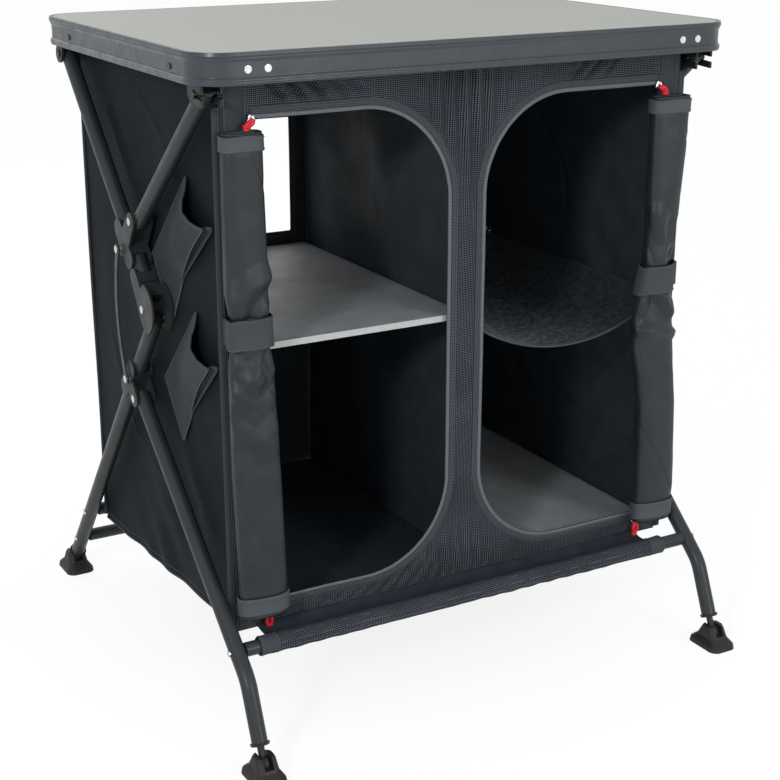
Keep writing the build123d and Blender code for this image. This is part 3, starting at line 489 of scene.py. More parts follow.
def front_y(x, z):
    """How far forward the panel lies at a spot, with its creases and gathers."""
    x, z = np.asarray(x, float), np.asarray(z, float)
    near = np.minimum(*(door_distance(x, z, *door) for door in DOORS))
    flat = FRONT + 1.2 * np.sin(x / 41 + 0.7) * np.sin(z / 190 + 0.5)
    # Slanting creases at the top, each with a shallow hollow beside it
    y = 0.0
    for start, depth, lean in SLANTS:
        off = x - start - lean * (SLANT_TOP - z) * SLANT_SLOPE
        y = y + ramp(z, 770, 792) * (depth * bell(off, 0, 4.0) - 0.45 * depth * bell(off, 9 * lean, 6))
    # Gathers over the right opening, and deeper ones in the strip between the openings
    y = y + 2.0 * ramp(z, 700, 800) * bell(x, 160, 60) * np.sin((x + 6 * np.sin(z / 40)) / 3.6)
    y = y + 4.2 * ramp(z, 540, 780) * bell(x, 4, 66) * np.sin((x + z * 0.02) / 2.9 + 0.8 * np.sin(z / 60))
    # Gathers under the middle and under the left opening, and slow waves along the whole foot
    low = 1 - ramp(z, 152, 250)
    y = y + 3.4 * low * bell(x, 8, 70) * np.sin(x / 2.7 + 0.6 * np.sin(z / 14))
    y = y + 3.0 * low * bell(x, -125, 75) * np.sin((x - 0.8 * (z - 140)) / 3.4)
    y = y + 1.2 * low * np.sin(x / 9 + 2 * np.sin(z / 30))
    # What is left of the folds at the tape, and at the foot
    by_tape = 0.12 + 0.88 * ramp(near, 13, 26)
    by_foot = ramp(z, 139, 153)
    return flat + y * by_tape * by_foot + 0.5 * ripple(x, z, 3, 0.03)


xs, zs = np.linspace(-SIDE, SIDE, 330), np.linspace(LOW, TOP, 250)
X, Z = np.meshgrid(xs, zs)
outside = np.minimum(*(door_distance(X, Z, *door) for door in DOORS)) > 0
keep = outside[:-1, :-1] | outside[1:, :-1] | outside[:-1, 1:] | outside[1:, 1:]
# Spots just inside an opening are moved onto its outline, in two steps
SNAP, NUDGE = 5, 0.2
for door in DOORS:
    for _ in range(2):
        d = door_distance(X, Z, *door)
        gx = (door_distance(X + NUDGE, Z, *door) - door_distance(X - NUDGE, Z, *door)) / (2 * NUDGE)
        gz = (door_distance(X, Z + NUDGE, *door) - door_distance(X, Z - NUDGE, *door)) / (2 * NUDGE)
        near = (d < 0) & (d > -SNAP)
        X, Z = np.where(near, X - gx * d, X), np.where(near, Z - gz * d, Z)
points, flat_map = np.stack([X, front_y(X, Z), Z], 2), np.stack([X, Z], 2)
front_cloth = cloth("front_cloth", points, MESH_FRONT, "table", flat_map, keep, behind=INSIDE)
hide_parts("front_panel")
pack_up(front_cloth)
print("front cloth", len(front_cloth.data.polygons), "faces")

# %% [markdown]
# Woven tape covers every cut edge, and thread holds it. The tape's weave is a herringbone that
# turns over in its middle. Stitches could be a texture, but they stand up from the cloth and catch
# light one by one, so each is a small bead of its own.


# %% Tape, thread and zip finishes
def tape_cloth(name, color, rough=0.7, pitch=1.5):
    made, tree, shader = finish(name, color, rough, specular=0.2)
    u, v = flat_uv(tree)
    slant = sums(tree, "ADD", sums(tree, "ABSOLUTE", u), v)
    height = sums(tree, "ADD", waves(tree, slant, pitch), sums(tree, "MULTIPLY", waves(tree, v, 0.7), 0.5))
    pale = tuple(c * 1.7 + 0.006 for c in color)
    share = sums(tree, "MULTIPLY", height, 0.5)
    tree.links.new(mix(tree, share, color, pale), shader.inputs["Base Color"])
    bump(tree, shader, height, 0.00025, 0.6)
    return made


TAPE = tape_cloth("binding_tape", (0.027, 0.031, 0.037))
HEM = tape_cloth("roll_hem", (0.047, 0.053, 0.060), 0.6, 1.8)
STRAP = tape_cloth("strap_tape", (0.031, 0.036, 0.042), 0.66, 2.2)
PLAIN = tape_cloth("plain_tape", (0.024, 0.028, 0.034), 0.62, 2.6)
ELASTIC = tape_cloth("elastic", (0.034, 0.037, 0.041), 0.7, 1.2)
THREAD, tree, shader = finish("thread", (0.115, 0.122, 0.135), 0.55)
bump(tree, shader, noise(tree, 2500, 2), 0.0002, 0.6)

ZIP, tree, shader = finish("zip_coil", (0.05, 0.054, 0.06), 0.42)
u, v = flat_uv(tree)
teeth = waves(tree, v, 1.9)
tree.links.new(mix(tree, teeth, (0.055, 0.060, 0.068), (0.165, 0.178, 0.198)), shader.inputs["Base Color"])
bump(tree, shader, teeth, 0.0005, 0.8)
print("tapes", TAPE.name, STRAP.name, PLAIN.name, ELASTIC.name, "zip", ZIP.name)


# %% [markdown]
# Tapes, cords and coils are all one thing: an outline carried along a line. Blender can bevel a
# curve for this, but then the weave has no flat pattern to lie on, so the points are laid out here,
# with the way across and the way out worked out at each of them. A stitch is an arch of thread,
# four sides round and three steps long; thousands of them still make a light mesh.


# %% Tools for tapes, cords and stitches
def frames(path, up):
    """The line's points, with the directions across it and out of it at each."""
    path = np.asarray(path, float)
    along = np.gradient(path, axis=0)
    along /= np.linalg.norm(along, axis=1)[:, None] + 1e-12
    up = np.broadcast_to(np.asarray(up, float), path.shape)
    across = np.cross(along, up)
    across /= np.linalg.norm(across, axis=1)[:, None] + 1e-12
    return path, across, np.cross(across, along)


def ribbon(name, path, up, profile, material, body, wrap=False):
    """An outline of (across, out) steps carried along a line; wrap makes it a closed bar."""
    path, across, out = frames(path, up)
    points = np.array([path + across * a + out * h for a, h in profile]).transpose(1, 0, 2)
    lengths = np.concatenate([[0], np.linalg.norm(np.diff(path, axis=0), axis=1).cumsum()])
    side = np.array([a for a, _ in profile])
    shape = points.shape[:2]
    uv = np.stack([np.broadcast_to(side, shape), np.broadcast_to(lengths[:, None], shape)], 2)
    faces, cols = grid_faces(len(path), len(profile), wrap=wrap), len(profile)
    if wrap:
        faces += [tuple(range(cols))[::-1], tuple((len(path) - 1) * cols + k for k in range(cols))]
    return mesh(name, points.reshape(-1, 3), faces, material, body, uv.reshape(-1, 2))


def tube(name, path, radius, material, body, sides=10, up=(0, 0.03, 1), flat=1.0):
    turn = [2 * math.pi * k / sides for k in range(sides)]
    profile = [(radius * math.cos(t), flat * radius * math.sin(t)) for t in turn]
    return ribbon(name, path, up, profile, material, body, True)


STITCH_PITCH, THREAD_RADIUS = 4.2, 0.32
# The rings of one stitch: place along its length, and lift
STITCH_RINGS = ((-0.5, -0.3), (-0.2, 0.5), (0.2, 0.5), (0.5, -0.3))
STITCH_SIDES = ((-1, 0), (0, 1), (1, 0), (0, -0.6))
STITCH_FACES = 14


def stitches(name, path, up, body, pitch=STITCH_PITCH, length=2.9):
    """Separate beads of thread along a line, standing out of the cloth."""
    path = np.asarray(path, float)
    run = np.concatenate([[0], np.linalg.norm(np.diff(path, axis=0), axis=1).cumsum()])
    at = np.arange(pitch / 2, run[-1], pitch)
    up = np.broadcast_to(np.asarray(up, float), path.shape)
    points, up = (np.stack([np.interp(at, run, row[:, k]) for k in range(3)], 1) for row in (path, up))
    points, across, out = frames(points, up)
    along = np.cross(out, across)
    verts, faces = [], []
    for point, side, rise, forward in zip(points, across, out, along):
        base = len(verts)
        for a, lift in STITCH_RINGS:
            middle = point + forward * a * length
            verts += [middle + side * b * THREAD_RADIUS + rise * ((c + lift) * THREAD_RADIUS)
                      for b, c in STITCH_SIDES]
        for i in range(3):
            one, two = base + 4 * i, base + 4 * i + 4
            faces += [(one + j, one + (j + 1) % 4, two + (j + 1) % 4, two + j) for j in range(4)]
        faces += [(base + 3, base + 2, base + 1, base), (base + 12, base + 13, base + 14, base + 15)]
    return mesh(name, verts, faces, THREAD, body)


# %% [markdown]
# Round each opening the zip's coil sits on the very edge, with its folded tape outside it. Both
# are a profile carried along the outline of the opening. Their depth comes from the panel itself,
# because they are sewn through it; the panel's pleats have faded here, so they lie smooth.


# %% Bindings and zips
def door_line(left, right, curved, grow):
    """The outline of an opening, a step of grow millimetres outside its edge."""
    outer, inner = (left, right) if curved > 0 else (right, left)
    r = DOOR_R + grow
    low, high, inner = DOOR_LOW - grow, DOOR_HIGH + grow, inner + curved * grow
    turn = np.linspace(0, math.pi / 2, 28)
    line = [(outer, low), *[(t, low) for t in np.linspace(outer, inner - curved * r, 40)[1:]]]
    line += [(inner - curved * r * (1 - math.sin(t)), low + r * (1 - math.cos(t))) for t in turn[1:]]
    line += [(inner, t) for t in np.linspace(low + r, high - r, 90)[1:]]
    line += [(inner - curved * r * (1 - math.cos(t)), high - r * (1 - math.sin(t))) for t in turn[1:]]
    line += [(t, high) for t in np.linspace(inner - curved * r, outer, 40)[1:]]
    x, z = np.array(line).T
    return x, z


def on_front(x, z, lift):
    """A line on the front panel, lifted off the cloth."""
    return np.stack([x, front_y(x, z) - lift, z], 1)


# The outlines of the folded tape and of the zip's coil, across and out
BIND = [(-4.3, -0.6), (-4.0, 0.7), (-3.2, 1.1), (0, 1.25), (3.2, 1.1), (4.0, 0.7), (4.3, -0.6)]
COIL = [(-2.6, -0.6), (-2.5, 0.9), (-1.9, 1.3), (-1.4, 0.8), (-1.0, 1.6), (1.0, 1.6), (1.4, 0.8),
        (2.2, 0.7), (2.5, -0.6)]
# How far outside the edge the middle of the tape, the coil and the three seams lie
TAPE_OUT, COIL_OUT, SEAMS_OUT = 9.7, 2.75, (6.6, 9.4, 12.6)
TOWARDS = (0, -1, 0)
for side, door in (("left", DOORS[0]), ("right", DOORS[1])):
    tape_path = on_front(*door_line(*door, TAPE_OUT), 0.2)
    coil_path = on_front(*door_line(*door, COIL_OUT), 0.4)
    tape = ribbon(f"{side}_door_binding", tape_path, TOWARDS, BIND, TAPE, "table")
    coil = ribbon(f"{side}_zip_coil", coil_path, TOWARDS, COIL, ZIP, "table")
    seams = []
    for k, grow in enumerate(SEAMS_OUT):
        seam_path = on_front(*door_line(*door, grow), 1.2)
        seams.append(stitches(f"{side}_seam_{k}", seam_path, TOWARDS, "table"))
    for part in (tape, coil, *seams):
        pack_up(part)
    if side == "left":
        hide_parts("opening_tapes")
        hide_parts("door_zips")
    count = len(seams[0].data.polygons) // STITCH_FACES
    print(side, "opening bound with", count, "stitches, length", round(count * STITCH_PITCH), "mm")

# %% [markdown]
# The outer edges of the panel carry a wide plain tape, and the seam with the wall stands out
# beyond the corner as a bound flange. The flange is built closed, since it is seen from both sides.
# At the back a round piping closes the corner instead, which a thin tube shows well enough.

# %% Edge tapes and corner flanges
# Outlines in millimetres across and out, and then where each piece runs
FLANGE = [(-5.2, -0.2), (-4.8, 0.9), (0, 1.2), (4.8, 0.9), (5.2, -0.2), (4.8, -1.2), (0, -1.4), (-4.8, -1.2)]
WIDE_TAPE = [(-14, -0.3), (-13.5, 0.6), (0, 0.8), (13.5, 0.6), (14, -0.3)]
WIDE_TAPE_X, WIDE_SEAM_OUT = 308.0, 12.4
FLANGE_X, FLANGE_TOP = 331.0, 785
PIPING_X, PIPING_LOW = 327.6, 125
for sign, label in ((-1, "left"), (1, "right")):
    zz = np.linspace(LOW + 2, TOP - 2, 160)
    xx = np.full_like(zz, sign * WIDE_TAPE_X)
    pack_up(ribbon(f"edge_tape_{label}", on_front(xx, zz, 0.5), TOWARDS, WIDE_TAPE, PLAIN, "table"))
    for k, dx in enumerate((-WIDE_SEAM_OUT, WIDE_SEAM_OUT)):
        pack_up(stitches(f"edge_seam_{label}_{k}", on_front(xx + dx, zz, 1.2), TOWARDS, "table"))
    zz = np.linspace(LOW + 3, FLANGE_TOP, 120)
    line = np.stack([sign * (FLANGE_X + 0.4 * np.sin(zz / 70)), FRONT + 0.5 * np.sin(zz / 55), zz], 1)
    pack_up(ribbon(f"corner_flange_{label}", line, TOWARDS, FLANGE, TAPE, "table", True))
    seam = line + (-sign * 2.6, -1.3, 0)
    pack_up(stitches(f"flange_seam_{label}", seam, TOWARDS, "table", pitch=3.6, length=2.4))
    zz = np.linspace(PIPING_LOW, TOP - 1, 110)
    line = np.stack([sign * (PIPING_X + 0.5 * np.sin(zz / 70)), BACK - 2 + 0.6 * np.sin(zz / 55), zz], 1)
    pack_up(tube(f"rear_piping_{label}", line, 2.3, TAPE, "table", up=(0, 1, 0.01)))
print("flanges stand out to", FLANGE_X + FLANGE[4][0], "mm from the middle")

# %% [markdown]
# Side walls: ribbed mesh, held along the top and at the corners. It hangs in slow upright folds,
# with slack that grows towards the middle, and with five long slanting creases where the folding
# frame pulled it. Simulated cloth would find such folds by itself but never in the same places.


# %% Side walls
WALL_X = 326.4
# Each crease: its line as spots of depth and height, how far it stands out, and its width
WALL_CREASES = (
    (((140, 735), (95, 690), (30, 630), (10, 560)), 2.6, 6),
    (((120, 740), (75, 690), (12, 622)), -2.2, 7),
    (((20, 765), (-40, 738), (-90, 690)), 2.4, 6),
    (((170, 420), (90, 300), (-60, 250)), 2.0, 9),
    (((-190, 330), (-60, 210), (60, 190)), -1.8, 9),
)


def wall_x(y, z, sign):
    """How far out a side wall lies at a spot; sign is -1 on the left and 1 on the right."""
    slack = np.sin(math.pi * np.clip((y + 220) / 456, 0, 1)) ** 0.7
    bulge = 1.6 * slack * np.sin(y / 23 + 1.5 * np.sin(z / 170)) * (0.5 + 0.5 * ramp(z, 820, 500))
    diagonal = 1.8 * bell(y * 0.7 + z * 0.7, 120 if sign < 0 else 300, 60) * np.sin((y - z) / 14)
    folds = sum(crease(y, z, line, height, width) for line, height, width in WALL_CREASES)
    return sign * (WALL_X + bulge + (diagonal + folds) * slack + 0.5 * ripple(y, z, 5 + sign, 0.03))


def side_low(y):
    """The height of the wall's hem, which drops towards the back."""
    return 119 + (250 - y) / 490 * 26


for sign, name in ((-1, "left"), (1, "right")):
    ys, ts = np.linspace(-222, 237, 170), np.linspace(0, 1, 230)
    Y, T = np.meshgrid(ys, ts)
    Z = side_low(Y) + (TOP - side_low(Y)) * T
    points, flat_map = np.stack([wall_x(Y, Z, sign), Y, Z], 2), np.stack([Y, Z], 2)
    first, second = (INSIDE, MESH_SIDE) if sign < 0 else (MESH_SIDE, INSIDE)
    wall = cloth(f"{name}_wall", points, first, "table", flat_map, behind=second)
    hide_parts(f"{name}_side_panel")
    pack_up(wall)
    hem = np.stack([wall_x(ys, side_low(ys), sign), ys, side_low(ys)], 1)
    pack_up(tube(f"{name}_wall_hem", hem, 1.7, TAPE, "table", up=(0.01, 0, 1)))
    pack_up(stitches(f"{name}_wall_seam", hem + (sign * 1.0, 0, 9), (sign, 0, 0), "table"))
    print(name, "wall", len(wall.data.polygons), "faces")

# %% [markdown]
# The back wall is a plainer sheet with a window cut in it, taped round on both sides. As in front,
# its squares are left out of the grid and the edge is snapped to the window's outline.

# %% Back wall and its window
# The window's middle, its width and its height
WIN_X, WIN_Z, WIN_W, WIN_H = -142.0, 604.0, 256.0, 172.0
WIN_SNAP, WIN_TAPE_OUT = 4.5, 5


def back_y(x, z):
    return BACK + 1.5 * np.sin(x / 24 + np.sin(z / 150)) + 0.5 * ripple(x, z, 12, 0.03) - 0.6


xs, zs = np.linspace(-325, 325, 164), np.linspace(141, TOP, 176)
X, Z = np.meshgrid(xs, zs)
qx, qz = np.abs(X - WIN_X) - WIN_W / 2, np.abs(Z - WIN_Z) - WIN_H / 2
hole = (qx < 0) & (qz < 0)
keep = ~(hole[:-1, :-1] & hole[1:, :-1] & hole[:-1, 1:] & hole[1:, 1:])
X = np.where(hole & (qx > -WIN_SNAP) & (qx > qz), WIN_X + np.sign(X - WIN_X) * WIN_W / 2, X)
Z = np.where(hole & (qz > -WIN_SNAP) & (qz >= qx), WIN_Z + np.sign(Z - WIN_Z) * WIN_H / 2, Z)
points, flat_map = np.stack([X, back_y(X, Z), Z], 2), np.stack([X, Z], 2)
back = cloth("back_wall", points, INSIDE, "table", flat_map, keep, behind=MESH_SIDE)
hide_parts("back_panel")
pack_up(back)
corners = [(-1, -1), (1, -1), (1, 1), (-1, 1), (-1, -1)]
for lift, label, up in ((-1.0, "inner", (0, -1, 0)), (1.0, "outer", (0, 1, 0))):
    outline = [(a * (WIN_W / 2 + WIN_TAPE_OUT), b * (WIN_H / 2 + WIN_TAPE_OUT)) for a, b in corners]
    line = np.array([(WIN_X + a, WIN_Z + b) for a, b in outline])
    line = np.concatenate([np.linspace(line[k], line[k + 1], 30)[:-1] for k in range(4)] + [line[:1]])
    path = np.stack([line[:, 0], back_y(line[:, 0], line[:, 1]) + lift, line[:, 1]], 1)
    pack_up(ribbon(f"window_tape_{label}", path, up, [(a * 1.5, h * 0.8) for a, h in BIND], TAPE, "table"))
    pack_up(stitches(f"window_seam_{label}", path + (0, 1.4 * lift, 0), up, "table"))
print("window", WIN_W, "by", WIN_H, "mm")

# %% [markdown]
# The divider hangs free below the middle of the table, so it shows long soft folds that lean with
# its pull. They could be sculpted by hand; one wave, strongest in the middle of the sheet, gives the
# same folds and can be moved by changing a number. Its two upright edges are bound.

# %% Divider
ys, zs = np.linspace(-220, 234, 120), np.linspace(151, TOP, 160)
Y, Z = np.meshgrid(ys, zs)


def divider_x(y, z):
    fold = 9.0 * ramp(z, 835, 640) * np.sin((y - 0.42 * z) / 36) * bell(y, 40, 150)
    return 10.5 + fold * (0.35 + 0.65 * ramp(z, 300, 500)) + 0.5 * ripple(y, z, 21, 0.03)


points, flat_map = np.stack([divider_x(Y, Z), Y, Z], 2), np.stack([Y, Z], 2)
divider = cloth("divider_cloth", points, INSIDE, "table", uv=flat_map)
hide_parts("centre_divider")
pack_up(divider)
for k, y in enumerate((-220, 233)):
    zz = np.linspace(153, TOP - 2, 120)
    path = np.stack([divider_x(y, zz), np.full(120, y), zz], 1)
    pack_up(tube(f"divider_binding_{k}", path, 2.0, TAPE, "table", up=(0, 1, 0.01), flat=1.5))
print("divider", len(divider.data.polygons), "faces")

# %% [markdown]
# Stiff boards lie on the right half of the floor and on the left shelf, covered in grey coated
# cloth; the floor itself has the dark cloth of the walls' inner face. Every cover is turned over
# the edge and sewn down. It could be one shrink-wrapped skin, but a cover, an underside and a
# rolled border are separate sheets here, as they are in the workshop.

# %% Boards
COVERED = (("floor_panel", INSIDE), ("right_base_board", BOARD), ("left_shelf_board", BOARD))
SEAM_IN = 7
for name, material in COVERED:
    low, high = (np.array(p) * 1000 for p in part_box(name))
    body = "mid_shelf" if name == "left_shelf_board" else "floor"
    xs, ys = np.linspace(low[0] + 0.4, high[0] - 0.4, 90), np.linspace(low[1] + 0.4, high[1] - 0.4, 110)
    X, Y = np.meshgrid(xs, ys)
    edge = np.minimum(np.minimum(X - low[0], high[0] - X), np.minimum(Y - low[1], high[1] - Y))
    Z = high[2] - 0.9 * (1 - ramp(edge, 0, 5)) + 0.35 * ripple(X, Y, len(name), 0.02) * ramp(edge, 3, 20)
    flat_map = np.stack([X, Y], 2)
    skin = cloth(f"{name}_cover", np.stack([X, Y, Z], 2), material, body, uv=flat_map, thick=0)
    cloth(f"{name}_under", np.stack([X, Y, low[2] + 0 * X], 2), INSIDE, body, uv=flat_map, thick=0)
    rim = [(low[0], low[1]), (high[0], low[1]), (high[0], high[1]), (low[0], high[1])]
    sides = [np.linspace(rim[k], rim[(k + 1) % 4], 40)[:-1] for k in range(4)]
    loop = np.concatenate(sides + [np.array(rim[:1])])
    half = (high[2] - low[2]) / 2
    path = np.column_stack([loop, np.full(len(loop), (low[2] + high[2]) / 2)])
    border = [(-1.2, half), (0.2, half * 0.9), (0.6, 0), (0.2, -half * 0.9), (-1.2, -half)]
    ribbon(f"{name}_border", path, (0, 0, 1), border, TAPE, body)
    middle = np.array([(low[0] + high[0]) / 2, (low[1] + high[1]) / 2])
    seam = path * (1, 1, 0) + (0, 0, high[2] - 0.2)
    seam[:, :2] += np.sign(middle - seam[:, :2]) * SEAM_IN
    stitches(f"{name}_seam", seam, (0, 0, 1), body)
    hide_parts(name)
    print(name, "cover", len(skin.data.polygons), "faces")

# %% [markdown]
# The net shelf hangs from four hooks and sags under its own weight. A see-through texture would
# be light to render, but every yarn is real here, so that light falls through it and glints on it.
# Paler patches in the yarn's colour add painted glints as well. A bound edge carries it all round.

# %% Net shelf
# The net's left, right, front and back edges, the height that it hangs from, and its sag
NL, NR, NF, NB, NET_TOP, SAG = 14.0, 323.5, -213.4, 214.5, 484.8, 52.0
ARC = ((NR - NL) ** 2 / 4 + SAG**2) / (2 * SAG)
NET_PITCH = 4.4
YARN = ((-0.45, 0), (0, 0.4), (0.45, 0), (0, -0.4))
YARN_LIFT = 0.25
NET, tree, shader = finish("net_yarn", (0.014, 0.016, 0.019), 0.24, specular=0.8)
# Paler patches of the yarn's colour are painted glints.
painted_glint = spread(tree, noise(tree, 120, 3), 0.4, 0.7, 0, 1)
tree.links.new(mix(tree, painted_glint, (0.028, 0.033, 0.039), (0.085, 0.097, 0.110)), shader.inputs["Base Color"])


def net_z(x, y):
    """The net sags in an arc from left to right."""
    return NET_TOP - SAG + ARC - np.sqrt(ARC**2 - (np.asarray(x) - (NL + NR) / 2) ** 2) + 0 * np.asarray(y)


verts, faces = [], []
along_x = (True, np.arange(NF + 3, NB - 2, NET_PITCH), 70)
along_y = (False, np.arange(NL + 3, NR - 2, NET_PITCH), 60)
for crosswise, places, samples in (along_x, along_y):
    for c in places:
        run = np.linspace(NL, NR, samples) if crosswise else np.linspace(NF, NB, samples)
        x, y = (run, np.full(samples, c)) if crosswise else (np.full(samples, c), run)
        z = net_z(x, y) + (YARN_LIFT if crosswise else -YARN_LIFT)
        base = len(verts)
        for p in np.stack([x, y, z], 1):
            verts += [p + ((0, a, b) if crosswise else (a, 0, b)) for a, b in YARN]
        faces += [tuple(base + k for k in f) for f in grid_faces(samples, 4, wrap=True)]
net = mesh("net_yarns", verts, faces, NET, "mid_shelf")
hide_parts("net_shelf")
print("net yarns", len(faces), "faces")

# %% [markdown]
# A net alone would fray, so a tape is folded over its edge, with a thin piping inside it, and four
# bent wires hook it to the cabinet. Tape, piping and hooks are the same carried outlines as before.

# %% Bound edge and hooks of the net
NET_EDGE = [(-3, 0), (-2.7, 1.0), (0, 1.5), (2.7, 1.0), (3, 0), (2.7, -1), (0, -1.4), (-2.7, -1)]
for k, y in enumerate((NF - 2.9, NB + 2.9)):
    x = np.linspace(NL, NR, 70)
    path = np.stack([x, np.full(70, y), net_z(x, y)], 1)
    band = ribbon(f"net_edge_{k}", path, (0, 0, 1), NET_EDGE, PLAIN, "mid_shelf", True)
    tube(f"net_piping_{k}", path + (0, -2.6 if k == 0 else 2.6, 0.6), 0.9, HEM, "mid_shelf", 8)
    stitches(f"net_seam_{k}", path + (0, 0, 1.5), (0, 0, 1), "mid_shelf")
    if k == 0:
        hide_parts("net_binding")
for k, x in enumerate((NL + 1, NR - 1)):
    y = np.linspace(NF, NB, 80)
    path = np.stack([np.full(80, x), y, net_z(x, y)], 1)
    small_edge = [(a * 0.6, h * 0.8) for a, h in NET_EDGE]
    ribbon(f"net_side_{k}", path, (0, 0, 1), small_edge, TAPE, "mid_shelf", True)
HOOK_RADIUS, HOOK_Z = 3.6, 489
for k, (x, y) in enumerate([(a, b) for a in (18.4, 319.1) for b in (-208, 210)]):
    turn = np.linspace(-0.3, math.pi * 1.55, 26)
    sign = 1 if x < 100 else -1
    hook_x, hook_z = x + sign * HOOK_RADIUS * np.cos(turn), HOOK_Z + HOOK_RADIUS * np.sin(turn)
    hook = np.stack([hook_x, np.full(26, y), hook_z], 1)
    tube(f"net_hook_{k}", hook, 1.0, CHROME, "mid_shelf", up=(0, 1, 0))
print("net sags", SAG, "mm over", NR - NL, "mm")

# %% [markdown]
# Rolled doors. Each door is a sheet of coated cloth, rolled up towards its hinge edge and tied.
# A solid bolster would show at its ends, so the sheet really is rolled here: the section is a
# flattened spiral of more than two turns, its layers a little apart. Where the strap draws it in,
# the sheet has too much width and breaks into tent-like creases; those are set line by line.

# %% Shape of the rolls
# How far forward the middle of both rolls lies, and how deep they are
ROLL_Y, ROLL_D = -246.8, 28.0
# From the top down: a height, where the middle of the roll lies there, and how wide it is
LEFT_SHAPE = (
    (759, -310, 49), (740, -310, 50), (690, -310, 51), (575, -309, 54), (548, -306.5, 53),
    (505, -305.5, 54), (478, -305, 58), (350, -302.5, 62), (215, -298.5, 63), (180, -298, 64),
    (163, -298, 62),
)
RIGHT_SHAPE = (
    (757, 298, 57), (745, 297, 58), (700, 296, 56), (565, 292, 46), (538, 289.7, 47),
    (494, 285.5, 57), (466, 287, 65), (425, 288, 65), (340, 299.3, 61), (215, 303.5, 63),
    (184, 302.3, 63), (165, 302, 60),
)
# Where the three bands lie: upper hem, strap, lower hem
LEFT_TIES = ((738, 756), (508, 545), (169, 192))
RIGHT_TIES = ((736, 754), (497, 535), (171, 195))
# Each crease: spots (across from -1 to 1, height), then how far it stands out, and its width
LEFT_CREASES = (
    ((-0.9, 562), (0.0, 582), (0.8, 592), 5.5, 22),
    ((-0.1, 546), (0.15, 562), (0.75, 573), -5.0, 14),
    ((-0.9, 506), (0.15, 484), (1.0, 506), -5.5, 18),
    ((0.15, 484), (-0.7, 458), 5.0, 17),
    ((-1.0, 476), (-0.1, 446), (1.0, 462), -4.5, 17),
    ((-0.1, 446), (0.1, 484), 4.0, 14),
    ((-0.9, 434), (-0.15, 412), (0.9, 430), -3.8, 18),
    ((-0.15, 412), (0.3, 380), 3.2, 18),
    ((-0.2, 600), (-0.3, 650), 1.8, 24),
    ((-0.7, 388), (0.6, 366), -2.2, 20),
)
RIGHT_CREASES = (
    ((-0.6, 606), (0.05, 562), (-0.6, 536), 5.0, 17),
    ((0.4, 590), (0.05, 562), (0.9, 537), -5.0, 17),
    ((0.05, 562), (0.15, 536), 3.6, 12),
    ((-0.3, 497), (-0.25, 486), (-0.85, 456), -5.0, 13),
    ((-0.25, 486), (0.85, 448), -4.6, 14),
    ((-1.05, 452), (0.0, 446), (1.05, 440), 7.0, 13),
    ((0.35, 497), (0.65, 466), 4.0, 13),
    ((-0.9, 426), (0.2, 392), -2.4, 24),
    ((0.1, 640), (0.35, 700), 2.4, 24),
    ((-0.5, 330), (0.1, 250), 1.8, 26),
)
ROLLS = (
    ("left", LEFT_SHAPE, LEFT_TIES, LEFT_CREASES),
    ("right", RIGHT_SHAPE, RIGHT_TIES, RIGHT_CREASES),
)


def section(t, w, d, power=2.8):
    """A flattened round, w wide and d deep, at the angles t; a higher power is boxier."""
    c, s = np.cos(t), np.sin(t)
    return np.sign(c) * np.abs(c) ** (2 / power) * w / 2, np.sign(s) * np.abs(s) ** (2 / power) * d / 2


def roll_shape(steps, z):
    """The middle and the width of a roll at a height."""
    table = np.array(sorted(steps))
    return np.interp(z, table[:, 0], table[:, 1]), np.interp(z, table[:, 0], table[:, 2])


print("rolls are", ROLL_D, "mm deep and up to", max(step[2] for step in LEFT_SHAPE + RIGHT_SHAPE), "mm wide")

# %% [markdown]
# The spiral winds inwards by a layer each turn. On top of it come the creases, on the outer face
# only, then a fan of small folds on either side of the strap, a slight unevenness, one long fold
# that winds down the roll, and the pinch under the bands.

# %% Rolled doors
# The angle wound in all, the gap from layer to layer, and the half width that creases are laid on
WOUND = 2 * math.pi * 2.35
LAYER = 1.5
HALF_WIDE = 27
for name, steps, ties, creases in ROLLS:
    lowest, highest = steps[-1][0], steps[0][0]
    turns, zs = np.linspace(0, WOUND, 260), np.linspace(lowest, highest, 330)
    T, Z = np.meshgrid(turns, zs)
    cx, w = roll_shape(steps, Z)
    # The strap in the middle draws the roll in
    low, high = ties[1]
    reach = np.maximum(np.maximum(low - Z, Z - high), 0)
    w = w - 3.0 * np.exp(-reach / 9) * ramp(reach, -1, 0)
    angle = T + math.pi / 2 - WOUND
    inset = LAYER * (WOUND - T) / (2 * math.pi)
    sx, sy = section(angle, w - 2 * inset, ROLL_D - 2 * inset)
    facing, across = ramp(-np.sin(angle), -0.1, 0.5), sx / (w / 2)
    push = 0.0
    for *spots, height, width in creases:
        line = [(u * HALF_WIDE, v) for u, v in spots]
        push = push + crease(across * HALF_WIDE, Z, line, height, width, True)
    push = push * facing
    fan = np.arcsin(np.sin(angle * 6 + 2.2 * np.sin(Z / 30) + np.sign(Z - low))) * 0.7
    push = push + fan * np.exp(-reach / 26) * ramp(reach, 1, 12)
    push = push + 0.3 * ripple(angle * 14, Z * 0.5, 31 if name == "left" else 47, 0.07, 2)
    push = push - 1.0 * bell(np.sin((across * 30 + Z * 0.5) / 40), 0, 0.08) * facing
    push = push - 2.2 * np.exp(-reach / 5)
    for a, b in ties:
        push = np.where((Z > a - 1) & (Z < b + 1), np.minimum(push, -0.6), push)
    x, y = cx + sx + np.cos(angle) * push, ROLL_Y + sy + np.sin(angle) * push
    P = np.stack([x, y, Z + inset * bell(Z, lowest, 40)], 2)
    # The flat width is the length of the spiral halfway up
    flat_u = np.concatenate([[0], np.linalg.norm(np.diff(P[165], axis=0), axis=1).cumsum()])
    flat_map = np.stack([np.broadcast_to(flat_u, T.shape), Z], 2)
    roll = cloth(f"{name}_door", P, DOOR, "table", uv=flat_map, thick=0.7)
    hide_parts(f"{name}_door_roll")
    pack_up(roll)

